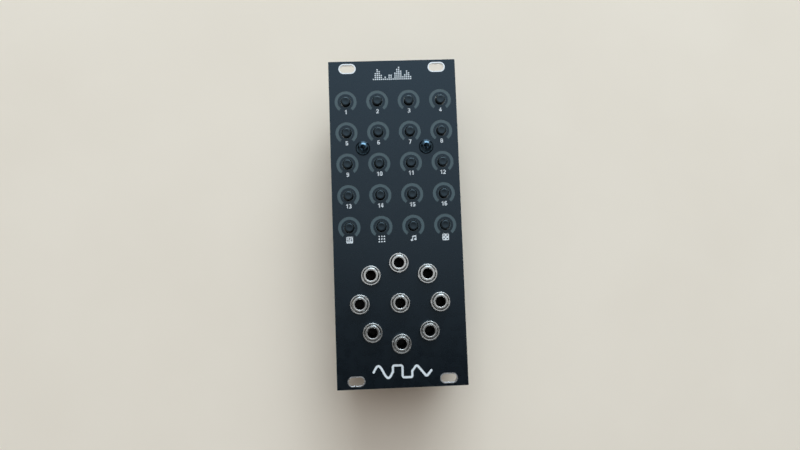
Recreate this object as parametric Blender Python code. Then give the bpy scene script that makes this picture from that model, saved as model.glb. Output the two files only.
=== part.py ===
"""A ten-unit rack synthesiser module lying on its back: panel, buttons, jack ring, board, rear parts.

Metres, +Z out of the panel's front, +Y towards the panel's top edge. The origin is under the
middle of the panel, on the plane that the power header and the two capacitors stand on.
"""

import math

import bmesh
import bpy

MM = 0.001

# Gap kept between two solids that touch, and how far joined shapes and cutters run past each other
SEAT_GAP = 0.3 * MM
JOIN_OVERLAP = 0.1 * MM
CUT_OVERRUN = 0.5 * MM

# Facets of round shapes
SMALL_ROUND_SEGMENTS = 12
LARGE_ROUND_SEGMENTS = 16
SMOOTH_ANGLE = math.radians(40)

# Front panel and its four oval mounting slots
PANEL_WIDTH = 50.5 * MM
PANEL_HEIGHT = 128.5 * MM
PANEL_THICKNESS = 1.6 * MM
SLOT_LENGTH = 6.0 * MM
SLOT_WIDTH = 3.2 * MM
SLOT_SIDE_INSET = 7.47 * MM
SLOT_END_INSET = 3.0 * MM

# Button grid
BUTTON_COLUMNS = 4
BUTTON_ROWS = 5
NUMBERED_BUTTONS = 16
BUTTON_SIDE_INSET = 6.5 * MM
BUTTON_TOP_INSET = 16.35 * MM

# Tactile switch: housing on the board, plunger with a retaining flange
SWITCH_SIDE = 6.0 * MM
SWITCH_HEIGHT = 3.5 * MM
SWITCH_COVER = 0.4 * MM
SWITCH_TRAVEL = 0.25 * MM
PLUNGER_DIAMETER = 3.5 * MM
PLUNGER_PROUD = 1.4 * MM
PLUNGER_CHAMFER = 0.2 * MM
PLUNGER_CLEARANCE = 0.2 * MM
FLANGE_LIP = 0.45 * MM
FLANGE_THICKNESS = 0.8 * MM
BUTTON_HOLE_MARGIN = 0.35 * MM

# Lamp above each switch, under the panel's light ring
LAMP_WIDTH = 3.5 * MM
LAMP_LENGTH = 2.8 * MM
LAMP_HEIGHT = 1.9 * MM
LAMP_GAP = 0.5 * MM

# Jack: plastic housing on three pins, threaded bushing, slotted round nut
JACK_COUNT = 8
JACK_GAP = 0.46 * MM
JACK_RING_DROP = 29.8 * MM
JACK_RING_BOTTOM_INSET = 32.35 * MM
JACK_WIDTH = 9.0 * MM
JACK_SLEEVE_END = 6.03 * MM
JACK_TIP_END = 4.47 * MM
JACK_HEIGHT = 10.0 * MM
JACK_BORE = 4.0 * MM
JACK_EDGE_ROUND = 0.4 * MM
CONTACT_SLOT_WIDTH = 2.2 * MM
CONTACT_SLOT_HEIGHT = 7.0 * MM
CONTACT_SLOT_WALL = 0.9 * MM
SWITCH_PIN_OFFSET = 3.38 * MM
PIN_WIDTH = 1.0 * MM
PIN_THICKNESS = 0.6 * MM
PIN_PROUD = 1.9 * MM
PIN_CLEARANCE = 0.2 * MM
BUSHING_DIAMETER = 6.0 * MM
BUSHING_LENGTH = 4.5 * MM
BUSHING_BORE = 3.6 * MM
BUSHING_EDGE = 0.25 * MM
BUSHING_MOUTH = 0.3 * MM
SPIGOT_STEP = 0.5 * MM
SPIGOT_LENGTH = 1.5 * MM
SPIGOT_CLEARANCE = 0.2 * MM
BUSHING_HOLE_CLEARANCE = 0.25 * MM
THREAD_CLEARANCE = 0.2 * MM
NUT_WALL = 0.6 * MM
NUT_HEIGHT = 2.0 * MM
NUT_EDGE = 0.15 * MM
NUT_COUNTERSINK = 0.3 * MM
NUT_SLOT_WIDTH = 1.0 * MM
NUT_SLOT_DEPTH = 0.6 * MM
# How far each nut was turned when tightened, in degrees, clockwise from the top and the middle last
NUT_ANGLES = (95, 15, -5, 30, -22, -40, 40, 22, -42)

# Control board
BOARD_THICKNESS = 1.6 * MM
BOARD_SIDE_MARGIN = 2.25 * MM
BOARD_TOP_MARGIN = 0.8 * MM
BOARD_BOTTOM_MARGIN = 1.6 * MM

# Screws and standoffs that hold the panel off the board
SCREW_DIAMETER = 3.0 * MM
SCREW_CLEARANCE = 0.2 * MM
PANEL_SCREW_LENGTH = 6.0 * MM
BOARD_SCREW_LENGTH = 5.0 * MM
BUTTON_HEAD_DIAMETER = 5.7 * MM
BUTTON_HEAD_HEIGHT = 1.65 * MM
BUTTON_HEAD_RIM = 0.25 * MM
BUTTON_HEAD_LAND = 1.5 * MM
HEX_KEY = 2.0 * MM
HEX_KEY_DEPTH = 1.0 * MM
PAN_HEAD_DIAMETER = 5.6 * MM
PAN_HEAD_HEIGHT = 1.9 * MM
PAN_HEAD_RIM = 0.9 * MM
PAN_HEAD_LAND = 1.6 * MM
CROSS_LENGTH = 2.6 * MM
CROSS_WIDTH = 0.6 * MM
CROSS_DEPTH = 1.1 * MM
STANDOFF_FLATS = 5.5 * MM
DOME_STEPS = 4
SCREW_ROWS_DOWN = 1.5

# Power header: shroud open to the rear, ten pins in two columns, keying notch
HEADER_HEIGHT = 8.9 * MM
HEADER_TOP_INSET = 17.0 * MM
HEADER_WALL = 1.2 * MM
HEADER_FLOOR = 2.3 * MM
HEADER_PLUG_WIDTH = 6.5 * MM
HEADER_END_ROOM = 3.8 * MM
HEADER_NOTCH = 4.5 * MM
HEADER_ROWS = 5
HEADER_COLUMNS = 2
HEADER_PIN_PITCH = 2.54 * MM
HEADER_PIN_SIDE = 0.64 * MM
HEADER_PIN_TIP_DEPTH = 1.0 * MM
HEADER_PIN_THROUGH = 1.4 * MM

# Smoothing capacitors, as tall as the header, so that the module lies level on the three
CAPACITOR_DIAMETER = 6.3 * MM
CAPACITOR_BASE_SIDE = 6.6 * MM
CAPACITOR_BASE_HEIGHT = 1.0 * MM
CAPACITOR_BASE_CORNER = 1.2 * MM
CAPACITOR_NECK_INSET = 0.35 * MM
CAPACITOR_NECK_HEIGHT = 0.7 * MM
CAPACITOR_EDGE = 0.4 * MM
CAPACITOR_SIDE_INSET = 4.5 * MM
CAPACITOR_END_INSET = 7.0 * MM

# Chips on the rear face
PROCESSOR_SIDE = 10.0 * MM
PROCESSOR_HEIGHT = 1.4 * MM
REGULATOR_WIDTH = 3.5 * MM
REGULATOR_LENGTH = 6.5 * MM
REGULATOR_HEIGHT = 1.6 * MM
REGULATOR_SIDE_INSET = 10.0 * MM
REGULATOR_RISE = 12.85 * MM
CHIP_CORNER = 0.25 * MM

# Plain colours, as red, green and blue, with roughness and metallic value
FINISHES = {
    "panel_black": ((0.020, 0.024, 0.030), 0.45, 0.0),
    "board_black": ((0.012, 0.016, 0.014), 0.40, 0.0),
    "button_black": ((0.015, 0.015, 0.016), 0.35, 0.0),
    "jack_plastic": ((0.012, 0.012, 0.013), 0.50, 0.0),
    "nickel": ((0.660, 0.640, 0.600), 0.25, 1.0),
    "black_steel": ((0.020, 0.021, 0.024), 0.30, 0.8),
    "zinc_steel": ((0.560, 0.560, 0.570), 0.35, 1.0),
    "brass": ((0.780, 0.620, 0.330), 0.30, 1.0),
    "header_plastic": ((0.014, 0.014, 0.015), 0.55, 0.0),
    "can_aluminium": ((0.720, 0.720, 0.730), 0.30, 1.0),
    "chip_plastic": ((0.018, 0.018, 0.019), 0.60, 0.0),
}

# Heights of the stack, from the resting plane up
board_rear_z = HEADER_HEIGHT + SEAT_GAP
board_front_z = board_rear_z + BOARD_THICKNESS
jack_base_z = board_front_z + SEAT_GAP
jack_top_z = jack_base_z + JACK_HEIGHT
panel_rear_z = jack_top_z + SEAT_GAP
panel_front_z = panel_rear_z + PANEL_THICKNESS

# Places worked out from the sizes above
half_width = PANEL_WIDTH / 2
half_height = PANEL_HEIGHT / 2
column_pitch = (PANEL_WIDTH - 2 * BUTTON_SIDE_INSET) / (BUTTON_COLUMNS - 1)
ring_y = -half_height + JACK_RING_BOTTOM_INSET
top_row_y = half_height - BUTTON_TOP_INSET
bottom_row_y = ring_y + JACK_RING_DROP
row_pitch = (top_row_y - bottom_row_y) / (BUTTON_ROWS - 1)
# A side jack of the ring clears its neighbour above by the gap, so their centres stand this high apart
jack_rise = JACK_SLEEVE_END + JACK_TIP_END + JACK_GAP
ring_radius = jack_rise / math.sin(2 * math.pi / JACK_COUNT)
plunger_radius = PLUNGER_DIAMETER / 2
flange_radius = plunger_radius + FLANGE_LIP
bushing_radius = BUSHING_DIAMETER / 2
screw_radius = SCREW_DIAMETER / 2
lamp_offset = SWITCH_SIDE / 2 + LAMP_GAP + LAMP_LENGTH / 2
pin_inset = PIN_THICKNESS / 2 + JOIN_OVERLAP
board_half_width = half_width - BUTTON_SIDE_INSET + SWITCH_SIDE / 2 + BOARD_SIDE_MARGIN
board_top_y = top_row_y + lamp_offset + LAMP_LENGTH / 2 + BOARD_TOP_MARGIN
board_bottom_y = ring_y - ring_radius - JACK_TIP_END - BOARD_BOTTOM_MARGIN
screw_y = top_row_y - SCREW_ROWS_DOWN * row_pitch
header_y = board_top_y - HEADER_TOP_INSET
header_room_length = HEADER_PIN_PITCH * (HEADER_ROWS - 1) + 2 * HEADER_END_ROOM
header_length = header_room_length + 2 * HEADER_WALL
processor_y = (header_y - header_length / 2 + ring_y + ring_radius + JACK_SLEEVE_END) / 2


def button_places():
    """Centres of the buttons, row by row from the top left."""
    places = []
    for row in range(BUTTON_ROWS):
        for column in range(BUTTON_COLUMNS):
            x = column_pitch * (column - (BUTTON_COLUMNS - 1) / 2)
            places.append((x, top_row_y - row * row_pitch))
    return places


def jack_places():
    """Axes of the jacks: the ring clockwise from its top, then the middle."""
    places = []
    for step in range(JACK_COUNT):
        turn = 2 * math.pi * step / JACK_COUNT
        places.append((ring_radius * math.sin(turn), ring_y + ring_radius * math.cos(turn)))
    places.append((0.0, ring_y))
    return places


def screw_places():
    """Axes of the two panel screws, midway between buttons of the second and third rows."""
    return [("left", -column_pitch, screw_y), ("right", column_pitch, screw_y)]


def jack_pin_offsets():
    """How far the sleeve, switch and tip pins stand from the jack's axis, along Y."""
    return (JACK_SLEEVE_END - pin_inset, SWITCH_PIN_OFFSET, pin_inset - JACK_TIP_END)


def circle(radius, segments, centre=(0.0, 0.0), start=0.0):
    """Corners of a round outline, anticlockwise."""
    corners = []
    for step in range(segments):
        angle = start + 2 * math.pi * step / segments
        corners.append((centre[0] + radius * math.cos(angle), centre[1] + radius * math.sin(angle)))
    return corners


def hexagon(across_flats):
    """Corners of a hexagon of this width across its flats."""
    return circle(across_flats / 2 / math.cos(math.pi / 6), 6)


def slot_outline(length, width, centre, segments):
    """Corners of a slot along X with round ends, anticlockwise."""
    half = segments // 2
    corners = []
    for side in (1, -1):
        middle = centre[0] + side * (length - width) / 2
        for step in range(half + 1):
            angle = math.pi * (step / half - 0.5) + (0.0 if side > 0 else math.pi)
            corners.append(
                (middle + width / 2 * math.cos(angle), centre[1] + width / 2 * math.sin(angle))
            )
    return corners


def rectangle(width, length, corner=0.0, centre=(0.0, 0.0)):
    """Corners of a rectangle, with its corners cut off by the length corner."""
    x, y = width / 2, length / 2
    if corner:
        points = [
            (x, -y + corner), (x, y - corner), (x - corner, y), (-x + corner, y),
            (-x, y - corner), (-x, -y + corner), (-x + corner, -y), (x - corner, -y),
        ]
    else:
        points = [(x, -y), (x, y), (-x, y), (-x, -y)]
    return [(centre[0] + px, centre[1] + py) for px, py in points]


def add_prism(bm, outline, low, high):
    """Adds the upright prism of an anticlockwise outline."""
    bottom = [bm.verts.new((x, y, low)) for x, y in outline]
    top = [bm.verts.new((x, y, high)) for x, y in outline]
    bm.faces.new(reversed(bottom))
    bm.faces.new(top)
    for i in range(len(outline)):
        j = (i + 1) % len(outline)
        bm.faces.new((bottom[i], bottom[j], top[j], top[i]))


def add_turned(bm, profile, segments, centre=(0.0, 0.0)):
    """Adds a closed profile of (radius, height) points turned about an upright axis.

    The profile runs anticlockwise, seen with the radius to the right. Where it starts and ends
    on the axis, the solid is closed there.
    """
    rings = []
    for radius, height in profile:
        if radius == 0:
            rings.append([bm.verts.new((centre[0], centre[1], height))] * segments)
            continue
        rings.append([bm.verts.new((x, y, height)) for x, y in circle(radius, segments, centre)])
    count = len(rings)
    steps = count - 1 if profile[0][0] == 0 else count
    for step in range(steps):
        inner, outer = rings[step], rings[(step + 1) % count]
        for i in range(segments):
            j = (i + 1) % segments
            corners = []
            for vertex in (inner[i], inner[j], outer[j], outer[i]):
                if vertex not in corners:
                    corners.append(vertex)
            bm.faces.new(corners)


def finished(bm):
    """The mesh of a bmesh, with its faces pointing out and round sides shaded smooth."""
    bmesh.ops.recalc_face_normals(bm, faces=bm.faces)
    mesh = bpy.data.meshes.new("shape")
    bm.to_mesh(mesh)
    bm.free()
    return mesh


def combined(base, other, operation):
    """The mesh of base joined with other or cut by it."""
    holder = bpy.data.objects.new("holder", base)
    partner = bpy.data.objects.new("partner", other)
    for helper in (holder, partner):
        bpy.context.scene.collection.objects.link(helper)
    boolean = holder.modifiers.new("boolean", "BOOLEAN")
    boolean.operation = operation
    boolean.object = partner
    bpy.context.view_layer.update()
    graph = bpy.context.evaluated_depsgraph_get()
    mesh = bpy.data.meshes.new_from_object(holder.evaluated_get(graph))
    for helper in (holder, partner):
        bpy.data.objects.remove(helper)
    return mesh


def shaded(mesh, material):
    """The mesh with its one material, smooth on round sides and crisp at edges."""
    mesh.materials.clear()
    mesh.materials.append(material)
    mesh.shade_smooth()
    mesh.set_sharp_from_angle(angle=SMOOTH_ANGLE)
    return mesh


def make_material(name):
    """A plain material from the table of finishes."""
    colour, roughness, metallic = FINISHES[name]
    material = bpy.data.materials.new(name)
    material.use_nodes = True
    shader = material.node_tree.nodes["Principled BSDF"]
    shader.inputs["Base Color"].default_value = (*colour, 1.0)
    shader.inputs["Roughness"].default_value = roughness
    shader.inputs["Metallic"].default_value = metallic
    material.diffuse_color = (*colour, 1.0)
    return material


def panel_mesh():
    """The flat panel, with its slots and the holes for buttons, bushings and screws."""
    plate = bmesh.new()
    add_prism(plate, rectangle(PANEL_WIDTH, PANEL_HEIGHT), 0.0, PANEL_THICKNESS)
    holes = bmesh.new()
    low, high = -CUT_OVERRUN, PANEL_THICKNESS + CUT_OVERRUN
    for x_side in (-1, 1):
        for y_side in (-1, 1):
            centre = (
                x_side * (half_width - SLOT_SIDE_INSET),
                y_side * (half_height - SLOT_END_INSET),
            )
            slot = slot_outline(SLOT_LENGTH, SLOT_WIDTH, centre, SMALL_ROUND_SEGMENTS)
            add_prism(holes, slot, low, high)
    button_hole = plunger_radius + BUTTON_HOLE_MARGIN
    for place in button_places():
        add_prism(holes, circle(button_hole, SMALL_ROUND_SEGMENTS, place), low, high)
    for place in jack_places():
        radius = bushing_radius + BUSHING_HOLE_CLEARANCE
        add_prism(holes, circle(radius, LARGE_ROUND_SEGMENTS, place), low, high)
    for _, x, y in screw_places():
        radius = screw_radius + SCREW_CLEARANCE
        add_prism(holes, circle(radius, SMALL_ROUND_SEGMENTS, (x, y)), low, high)
    return combined(finished(plate), finished(holes), "DIFFERENCE")


def plunger_levels():
    """Heights above the board's front of the flange's underside, the flange's top and the cover."""
    cover_underside = SWITCH_HEIGHT - SWITCH_COVER
    flange_top = cover_underside - SEAT_GAP
    return flange_top - FLANGE_THICKNESS, flange_top, cover_underside


def board_mesh():
    """The board with the switch housings and lamps soldered to its front, and its holes."""
    board = bmesh.new()
    middle_y = (board_top_y + board_bottom_y) / 2
    outline = rectangle(
        2 * board_half_width, board_top_y - board_bottom_y, centre=(0.0, middle_y)
    )
    add_prism(board, outline, -BOARD_THICKNESS, 0.0)
    housings, lamps = bmesh.new(), bmesh.new()
    for x, y in button_places():
        body = rectangle(SWITCH_SIDE, SWITCH_SIDE, centre=(x, y))
        add_prism(housings, body, -JOIN_OVERLAP, SWITCH_HEIGHT)
        lamp = rectangle(LAMP_WIDTH, LAMP_LENGTH, centre=(x, y + lamp_offset))
        add_prism(lamps, lamp, -JOIN_OVERLAP, LAMP_HEIGHT)
    with_housings = combined(finished(board), finished(housings), "UNION")
    populated = combined(with_housings, finished(lamps), "UNION")

    holes = bmesh.new()
    flange_base, _, cover_underside = plunger_levels()
    floor = flange_base - SWITCH_TRAVEL - SEAT_GAP
    room, mouth = flange_radius + PLUNGER_CLEARANCE, plunger_radius + PLUNGER_CLEARANCE
    cavity = [
        (0.0, floor),
        (room, floor),
        (room, cover_underside),
        (mouth, cover_underside),
        (mouth, SWITCH_HEIGHT + CUT_OVERRUN),
        (0.0, SWITCH_HEIGHT + CUT_OVERRUN),
    ]
    for place in button_places():
        add_turned(holes, cavity, SMALL_ROUND_SEGMENTS, place)
    low, high = -BOARD_THICKNESS - CUT_OVERRUN, CUT_OVERRUN
    for _, x, y in screw_places():
        radius = screw_radius + SCREW_CLEARANCE
        add_prism(holes, circle(radius, SMALL_ROUND_SEGMENTS, (x, y)), low, high)
    for x, y in jack_places():
        for offset in jack_pin_offsets():
            hole = rectangle(
                PIN_WIDTH + 2 * PIN_CLEARANCE,
                PIN_THICKNESS + 2 * PIN_CLEARANCE,
                centre=(x, y + offset),
            )
            add_prism(holes, hole, low, high)
    side = HEADER_PIN_SIDE + 2 * PIN_CLEARANCE
    for x, y in header_pin_places():
        add_prism(holes, rectangle(side, side, centre=(x, y + header_y)), low, high)
    return combined(populated, finished(holes), "DIFFERENCE")


def plunger_mesh():
    """A switch plunger: flange, stem and chamfered top, from the flange's underside up."""
    flange_base, flange_top, _ = plunger_levels()
    top = panel_front_z + PLUNGER_PROUD - board_front_z - flange_base
    plunger = bmesh.new()
    profile = [
        (0.0, 0.0),
        (flange_radius, 0.0),
        (flange_radius, flange_top - flange_base),
        (plunger_radius, flange_top - flange_base),
        (plunger_radius, top - PLUNGER_CHAMFER),
        (plunger_radius - PLUNGER_CHAMFER, top),
        (0.0, top),
    ]
    add_turned(plunger, profile, SMALL_ROUND_SEGMENTS)
    return finished(plunger)


def jack_housing_mesh():
    """A jack's plastic housing with its socket, contact slot and three pins, from its base up."""
    middle = (JACK_SLEEVE_END - JACK_TIP_END) / 2
    body = bmesh.new()
    outline = rectangle(
        JACK_WIDTH, JACK_SLEEVE_END + JACK_TIP_END, JACK_EDGE_ROUND, (0.0, middle)
    )
    add_prism(body, outline, 0.0, JACK_HEIGHT)
    pins = bmesh.new()
    pin_end = -SEAT_GAP - BOARD_THICKNESS - PIN_PROUD
    for offset in jack_pin_offsets():
        blade = rectangle(PIN_WIDTH, PIN_THICKNESS, centre=(0.0, offset))
        add_prism(pins, blade, pin_end, JOIN_OVERLAP)
    with_pins = combined(finished(body), finished(pins), "UNION")

    room = bmesh.new()
    bore = JACK_BORE / 2
    seat = bushing_radius - SPIGOT_STEP + SPIGOT_CLEARANCE
    seat_floor = JACK_HEIGHT - SPIGOT_LENGTH - SEAT_GAP
    well = [
        (0.0, -CUT_OVERRUN),
        (bore, -CUT_OVERRUN),
        (bore, seat_floor),
        (seat, seat_floor),
        (seat, JACK_HEIGHT + CUT_OVERRUN),
        (0.0, JACK_HEIGHT + CUT_OVERRUN),
    ]
    add_turned(room, well, SMALL_ROUND_SEGMENTS)
    socket = combined(with_pins, finished(room), "DIFFERENCE")

    slot = bmesh.new()
    slot_end = -JACK_TIP_END + CONTACT_SLOT_WALL
    strip = rectangle(CONTACT_SLOT_WIDTH, -slot_end, centre=(0.0, slot_end / 2))
    add_prism(slot, strip, -CUT_OVERRUN, CONTACT_SLOT_HEIGHT)
    return combined(socket, finished(slot), "DIFFERENCE")


def bushing_mesh():
    """A jack's threaded bushing, from the shoulder that sits on the housing."""
    bore = BUSHING_BORE / 2
    spigot = bushing_radius - SPIGOT_STEP
    bushing = bmesh.new()
    profile = [
        (bore, -SPIGOT_LENGTH),
        (spigot, -SPIGOT_LENGTH),
        (spigot, 0.0),
        (bushing_radius, 0.0),
        (bushing_radius, BUSHING_LENGTH - BUSHING_EDGE),
        (bushing_radius - BUSHING_EDGE, BUSHING_LENGTH),
        (bore + BUSHING_MOUTH, BUSHING_LENGTH),
        (bore, BUSHING_LENGTH - BUSHING_MOUTH),
    ]
    add_turned(bushing, profile, LARGE_ROUND_SEGMENTS)
    return finished(bushing)


def nut_mesh():
    """A round nut with a chamfered rim, a countersunk thread and two slots for the key."""
    bore = bushing_radius + THREAD_CLEARANCE
    rim = bore + NUT_WALL
    nut = bmesh.new()
    profile = [
        (bore, 0.0),
        (rim, 0.0),
        (rim, NUT_HEIGHT - NUT_EDGE),
        (rim - NUT_EDGE, NUT_HEIGHT),
        (bore + NUT_COUNTERSINK, NUT_HEIGHT),
        (bore, NUT_HEIGHT - NUT_COUNTERSINK),
    ]
    add_turned(nut, profile, LARGE_ROUND_SEGMENTS)
    slot = bmesh.new()
    across = rectangle(2 * (rim + CUT_OVERRUN), NUT_SLOT_WIDTH)
    add_prism(slot, across, NUT_HEIGHT - NUT_SLOT_DEPTH, NUT_HEIGHT + CUT_OVERRUN)
    return combined(finished(nut), finished(slot), "DIFFERENCE")


def domed_screw(head_radius, head_height, rim, land, length):
    """A bmesh of a screw with a domed head above zero and its shank below."""
    dome = []
    for step in range(DOME_STEPS + 1):
        angle = math.pi / 2 * step / DOME_STEPS
        radius = land + (head_radius - land) * math.cos(angle)
        dome.append((radius, rim + (head_height - rim) * math.sin(angle)))
    screw = bmesh.new()
    profile = [
        (0.0, -length),
        (screw_radius, -length),
        (screw_radius, 0.0),
        (head_radius, 0.0),
        *dome,
        (0.0, head_height),
    ]
    add_turned(screw, profile, SMALL_ROUND_SEGMENTS)
    return screw


def panel_screw_mesh():
    """A button-head screw with a hexagon socket."""
    screw = domed_screw(
        BUTTON_HEAD_DIAMETER / 2,
        BUTTON_HEAD_HEIGHT,
        BUTTON_HEAD_RIM,
        BUTTON_HEAD_LAND,
        PANEL_SCREW_LENGTH,
    )
    socket = bmesh.new()
    floor = BUTTON_HEAD_HEIGHT - HEX_KEY_DEPTH
    add_prism(socket, hexagon(HEX_KEY), floor, BUTTON_HEAD_HEIGHT + CUT_OVERRUN)
    return combined(finished(screw), finished(socket), "DIFFERENCE")


def board_screw_mesh():
    """A pan-head screw with a cross recess."""
    screw = domed_screw(
        PAN_HEAD_DIAMETER / 2, PAN_HEAD_HEIGHT, PAN_HEAD_RIM, PAN_HEAD_LAND, BOARD_SCREW_LENGTH
    )
    mesh = finished(screw)
    floor = PAN_HEAD_HEIGHT - CROSS_DEPTH
    for width, length in ((CROSS_WIDTH, CROSS_LENGTH), (CROSS_LENGTH, CROSS_WIDTH)):
        recess = bmesh.new()
        add_prism(recess, rectangle(width, length), floor, PAN_HEAD_HEIGHT + CUT_OVERRUN)
        mesh = combined(mesh, finished(recess), "DIFFERENCE")
    return mesh


def standoff_mesh():
    """A hexagonal standoff with a thread from end to end."""
    length = panel_rear_z - board_front_z - 2 * SEAT_GAP
    post = bmesh.new()
    add_prism(post, hexagon(STANDOFF_FLATS), 0.0, length)
    thread = bmesh.new()
    radius = screw_radius + SCREW_CLEARANCE
    add_prism(thread, circle(radius, SMALL_ROUND_SEGMENTS), -CUT_OVERRUN, length + CUT_OVERRUN)
    return combined(finished(post), finished(thread), "DIFFERENCE")


def header_pin_places():
    """Places of the power pins about the header's middle: two columns along Y."""
    places = []
    for column in range(HEADER_COLUMNS):
        for row in range(HEADER_ROWS):
            x = HEADER_PIN_PITCH * (column - (HEADER_COLUMNS - 1) / 2)
            y = HEADER_PIN_PITCH * (row - (HEADER_ROWS - 1) / 2)
            places.append((x, y))
    return places


def header_mesh():
    """The shrouded power header, hanging below zero, with its pins up through the board."""
    shroud = bmesh.new()
    outer = rectangle(HEADER_PLUG_WIDTH + 2 * HEADER_WALL, header_length)
    add_prism(shroud, outer, -HEADER_HEIGHT, 0.0)
    room = bmesh.new()
    low, high = -HEADER_HEIGHT - CUT_OVERRUN, -HEADER_FLOOR
    add_prism(room, rectangle(HEADER_PLUG_WIDTH, header_room_length), low, high)
    shell = combined(finished(shroud), finished(room), "DIFFERENCE")

    notch = bmesh.new()
    wall_x = HEADER_PLUG_WIDTH / 2 + HEADER_WALL / 2
    opening = rectangle(HEADER_WALL + 2 * CUT_OVERRUN, HEADER_NOTCH, centre=(wall_x, 0.0))
    add_prism(notch, opening, low, high)
    notched = combined(shell, finished(notch), "DIFFERENCE")

    pins = bmesh.new()
    tip = -HEADER_HEIGHT + HEADER_PIN_TIP_DEPTH
    through = SEAT_GAP + BOARD_THICKNESS + HEADER_PIN_THROUGH
    for place in header_pin_places():
        add_prism(pins, rectangle(HEADER_PIN_SIDE, HEADER_PIN_SIDE, centre=place), tip, through)
    return combined(notched, finished(pins), "UNION")


def capacitor_mesh():
    """A capacitor can on its moulded base, hanging below zero as far as the header does."""
    base = bmesh.new()
    outline = rectangle(CAPACITOR_BASE_SIDE, CAPACITOR_BASE_SIDE, CAPACITOR_BASE_CORNER)
    add_prism(base, outline, -CAPACITOR_BASE_HEIGHT, 0.0)
    radius = CAPACITOR_DIAMETER / 2
    neck = radius - CAPACITOR_NECK_INSET
    neck_z = -CAPACITOR_BASE_HEIGHT - CAPACITOR_NECK_HEIGHT
    can = bmesh.new()
    profile = [
        (0.0, -HEADER_HEIGHT),
        (radius - CAPACITOR_EDGE, -HEADER_HEIGHT),
        (radius, -HEADER_HEIGHT + CAPACITOR_EDGE),
        (radius, neck_z - CAPACITOR_NECK_HEIGHT),
        (neck, neck_z),
        (radius, -CAPACITOR_BASE_HEIGHT),
        (radius, -CAPACITOR_BASE_HEIGHT + JOIN_OVERLAP),
        (0.0, -CAPACITOR_BASE_HEIGHT + JOIN_OVERLAP),
    ]
    add_turned(can, profile, LARGE_ROUND_SEGMENTS)
    return combined(finished(base), finished(can), "UNION")


def chip_mesh(width, length, height):
    """A moulded chip body, hanging below zero."""
    chip = bmesh.new()
    add_prism(chip, rectangle(width, length, CHIP_CORNER), -height, 0.0)
    return finished(chip)


def place(name, mesh, module, location, turn=0.0, flipped=False):
    """Puts a piece on the module at a location, turned about its upright axis or hung upside down."""
    piece = bpy.data.objects.new(name, mesh)
    bpy.context.scene.collection.objects.link(piece)
    piece.parent = module
    piece.location = location
    piece.rotation_euler = (math.pi if flipped else 0.0, 0.0, turn)
    return piece


def button_name(index):
    """Numbered buttons first, then the four function buttons below them."""
    if index < NUMBERED_BUTTONS:
        return f"button_{index + 1}"
    return f"function_button_{index + 1 - NUMBERED_BUTTONS}"


def add_panel_and_board(module):
    panel = shaded(panel_mesh(), make_material("panel_black"))
    place("front_panel", panel, module, (0.0, 0.0, panel_rear_z))
    board = shaded(board_mesh(), make_material("board_black"))
    place("control_board", board, module, (0.0, 0.0, board_front_z))


def add_buttons(module):
    mesh = shaded(plunger_mesh(), make_material("button_black"))
    base_z = board_front_z + plunger_levels()[0]
    for index, (x, y) in enumerate(button_places()):
        place(button_name(index), mesh, module, (x, y, base_z))


def add_jacks(module):
    nickel = make_material("nickel")
    housing = shaded(jack_housing_mesh(), make_material("jack_plastic"))
    bushing = shaded(bushing_mesh(), nickel)
    nut = shaded(nut_mesh(), nickel)
    for number, ((x, y), turn) in enumerate(zip(jack_places(), NUT_ANGLES), start=1):
        place(f"jack_housing_{number}", housing, module, (x, y, jack_base_z))
        place(f"jack_bushing_{number}", bushing, module, (x, y, jack_top_z + SEAT_GAP))
        nut_z = panel_front_z + SEAT_GAP
        place(f"jack_nut_{number}", nut, module, (x, y, nut_z), math.radians(turn))


def add_fasteners(module):
    panel_screw = shaded(panel_screw_mesh(), make_material("black_steel"))
    board_screw = shaded(board_screw_mesh(), make_material("zinc_steel"))
    standoff = shaded(standoff_mesh(), make_material("brass"))
    for side, x, y in screw_places():
        place(f"panel_screw_{side}", panel_screw, module, (x, y, panel_front_z + SEAT_GAP))
        place(f"standoff_{side}", standoff, module, (x, y, board_front_z + SEAT_GAP))
        rear_z = board_rear_z - SEAT_GAP
        place(f"board_screw_{side}", board_screw, module, (x, y, rear_z), flipped=True)


def add_rear_parts(module):
    seat_z = board_rear_z - SEAT_GAP
    header = shaded(header_mesh(), make_material("header_plastic"))
    place("power_header", header, module, (0.0, header_y, seat_z))
    capacitor = shaded(capacitor_mesh(), make_material("can_aluminium"))
    capacitor_x = board_half_width - CAPACITOR_SIDE_INSET
    capacitor_y = board_bottom_y + CAPACITOR_END_INSET
    place("capacitor_left", capacitor, module, (-capacitor_x, capacitor_y, seat_z))
    place("capacitor_right", capacitor, module, (capacitor_x, capacitor_y, seat_z))
    chip_plastic = make_material("chip_plastic")
    processor = shaded(chip_mesh(PROCESSOR_SIDE, PROCESSOR_SIDE, PROCESSOR_HEIGHT), chip_plastic)
    place("microcontroller", processor, module, (0.0, processor_y, seat_z))
    regulator = shaded(
        chip_mesh(REGULATOR_WIDTH, REGULATOR_LENGTH, REGULATOR_HEIGHT), chip_plastic
    )
    regulator_x = REGULATOR_SIDE_INSET - board_half_width
    regulator_y = screw_y + REGULATOR_RISE
    place("voltage_regulator", regulator, module, (regulator_x, regulator_y, seat_z))


def main():
    for old in list(bpy.data.objects):
        bpy.data.objects.remove(old)
    module = bpy.data.objects.new("module", None)
    bpy.context.scene.collection.objects.link(module)
    add_panel_and_board(module)
    add_buttons(module)
    add_jacks(module)
    add_fasteners(module)
    add_rear_parts(module)


main()
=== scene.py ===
"""Looks of the ten-unit rack synthesiser module: fine shapes, finishes, floor, lights and camera.

Shapes are drawn in millimetres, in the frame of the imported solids: +Z out of the panel's front and
+Y towards its top edge. Places and sizes that a solid already has are read from that solid.
"""

import math

import bmesh
import bpy
from mathutils import Matrix, Vector


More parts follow.
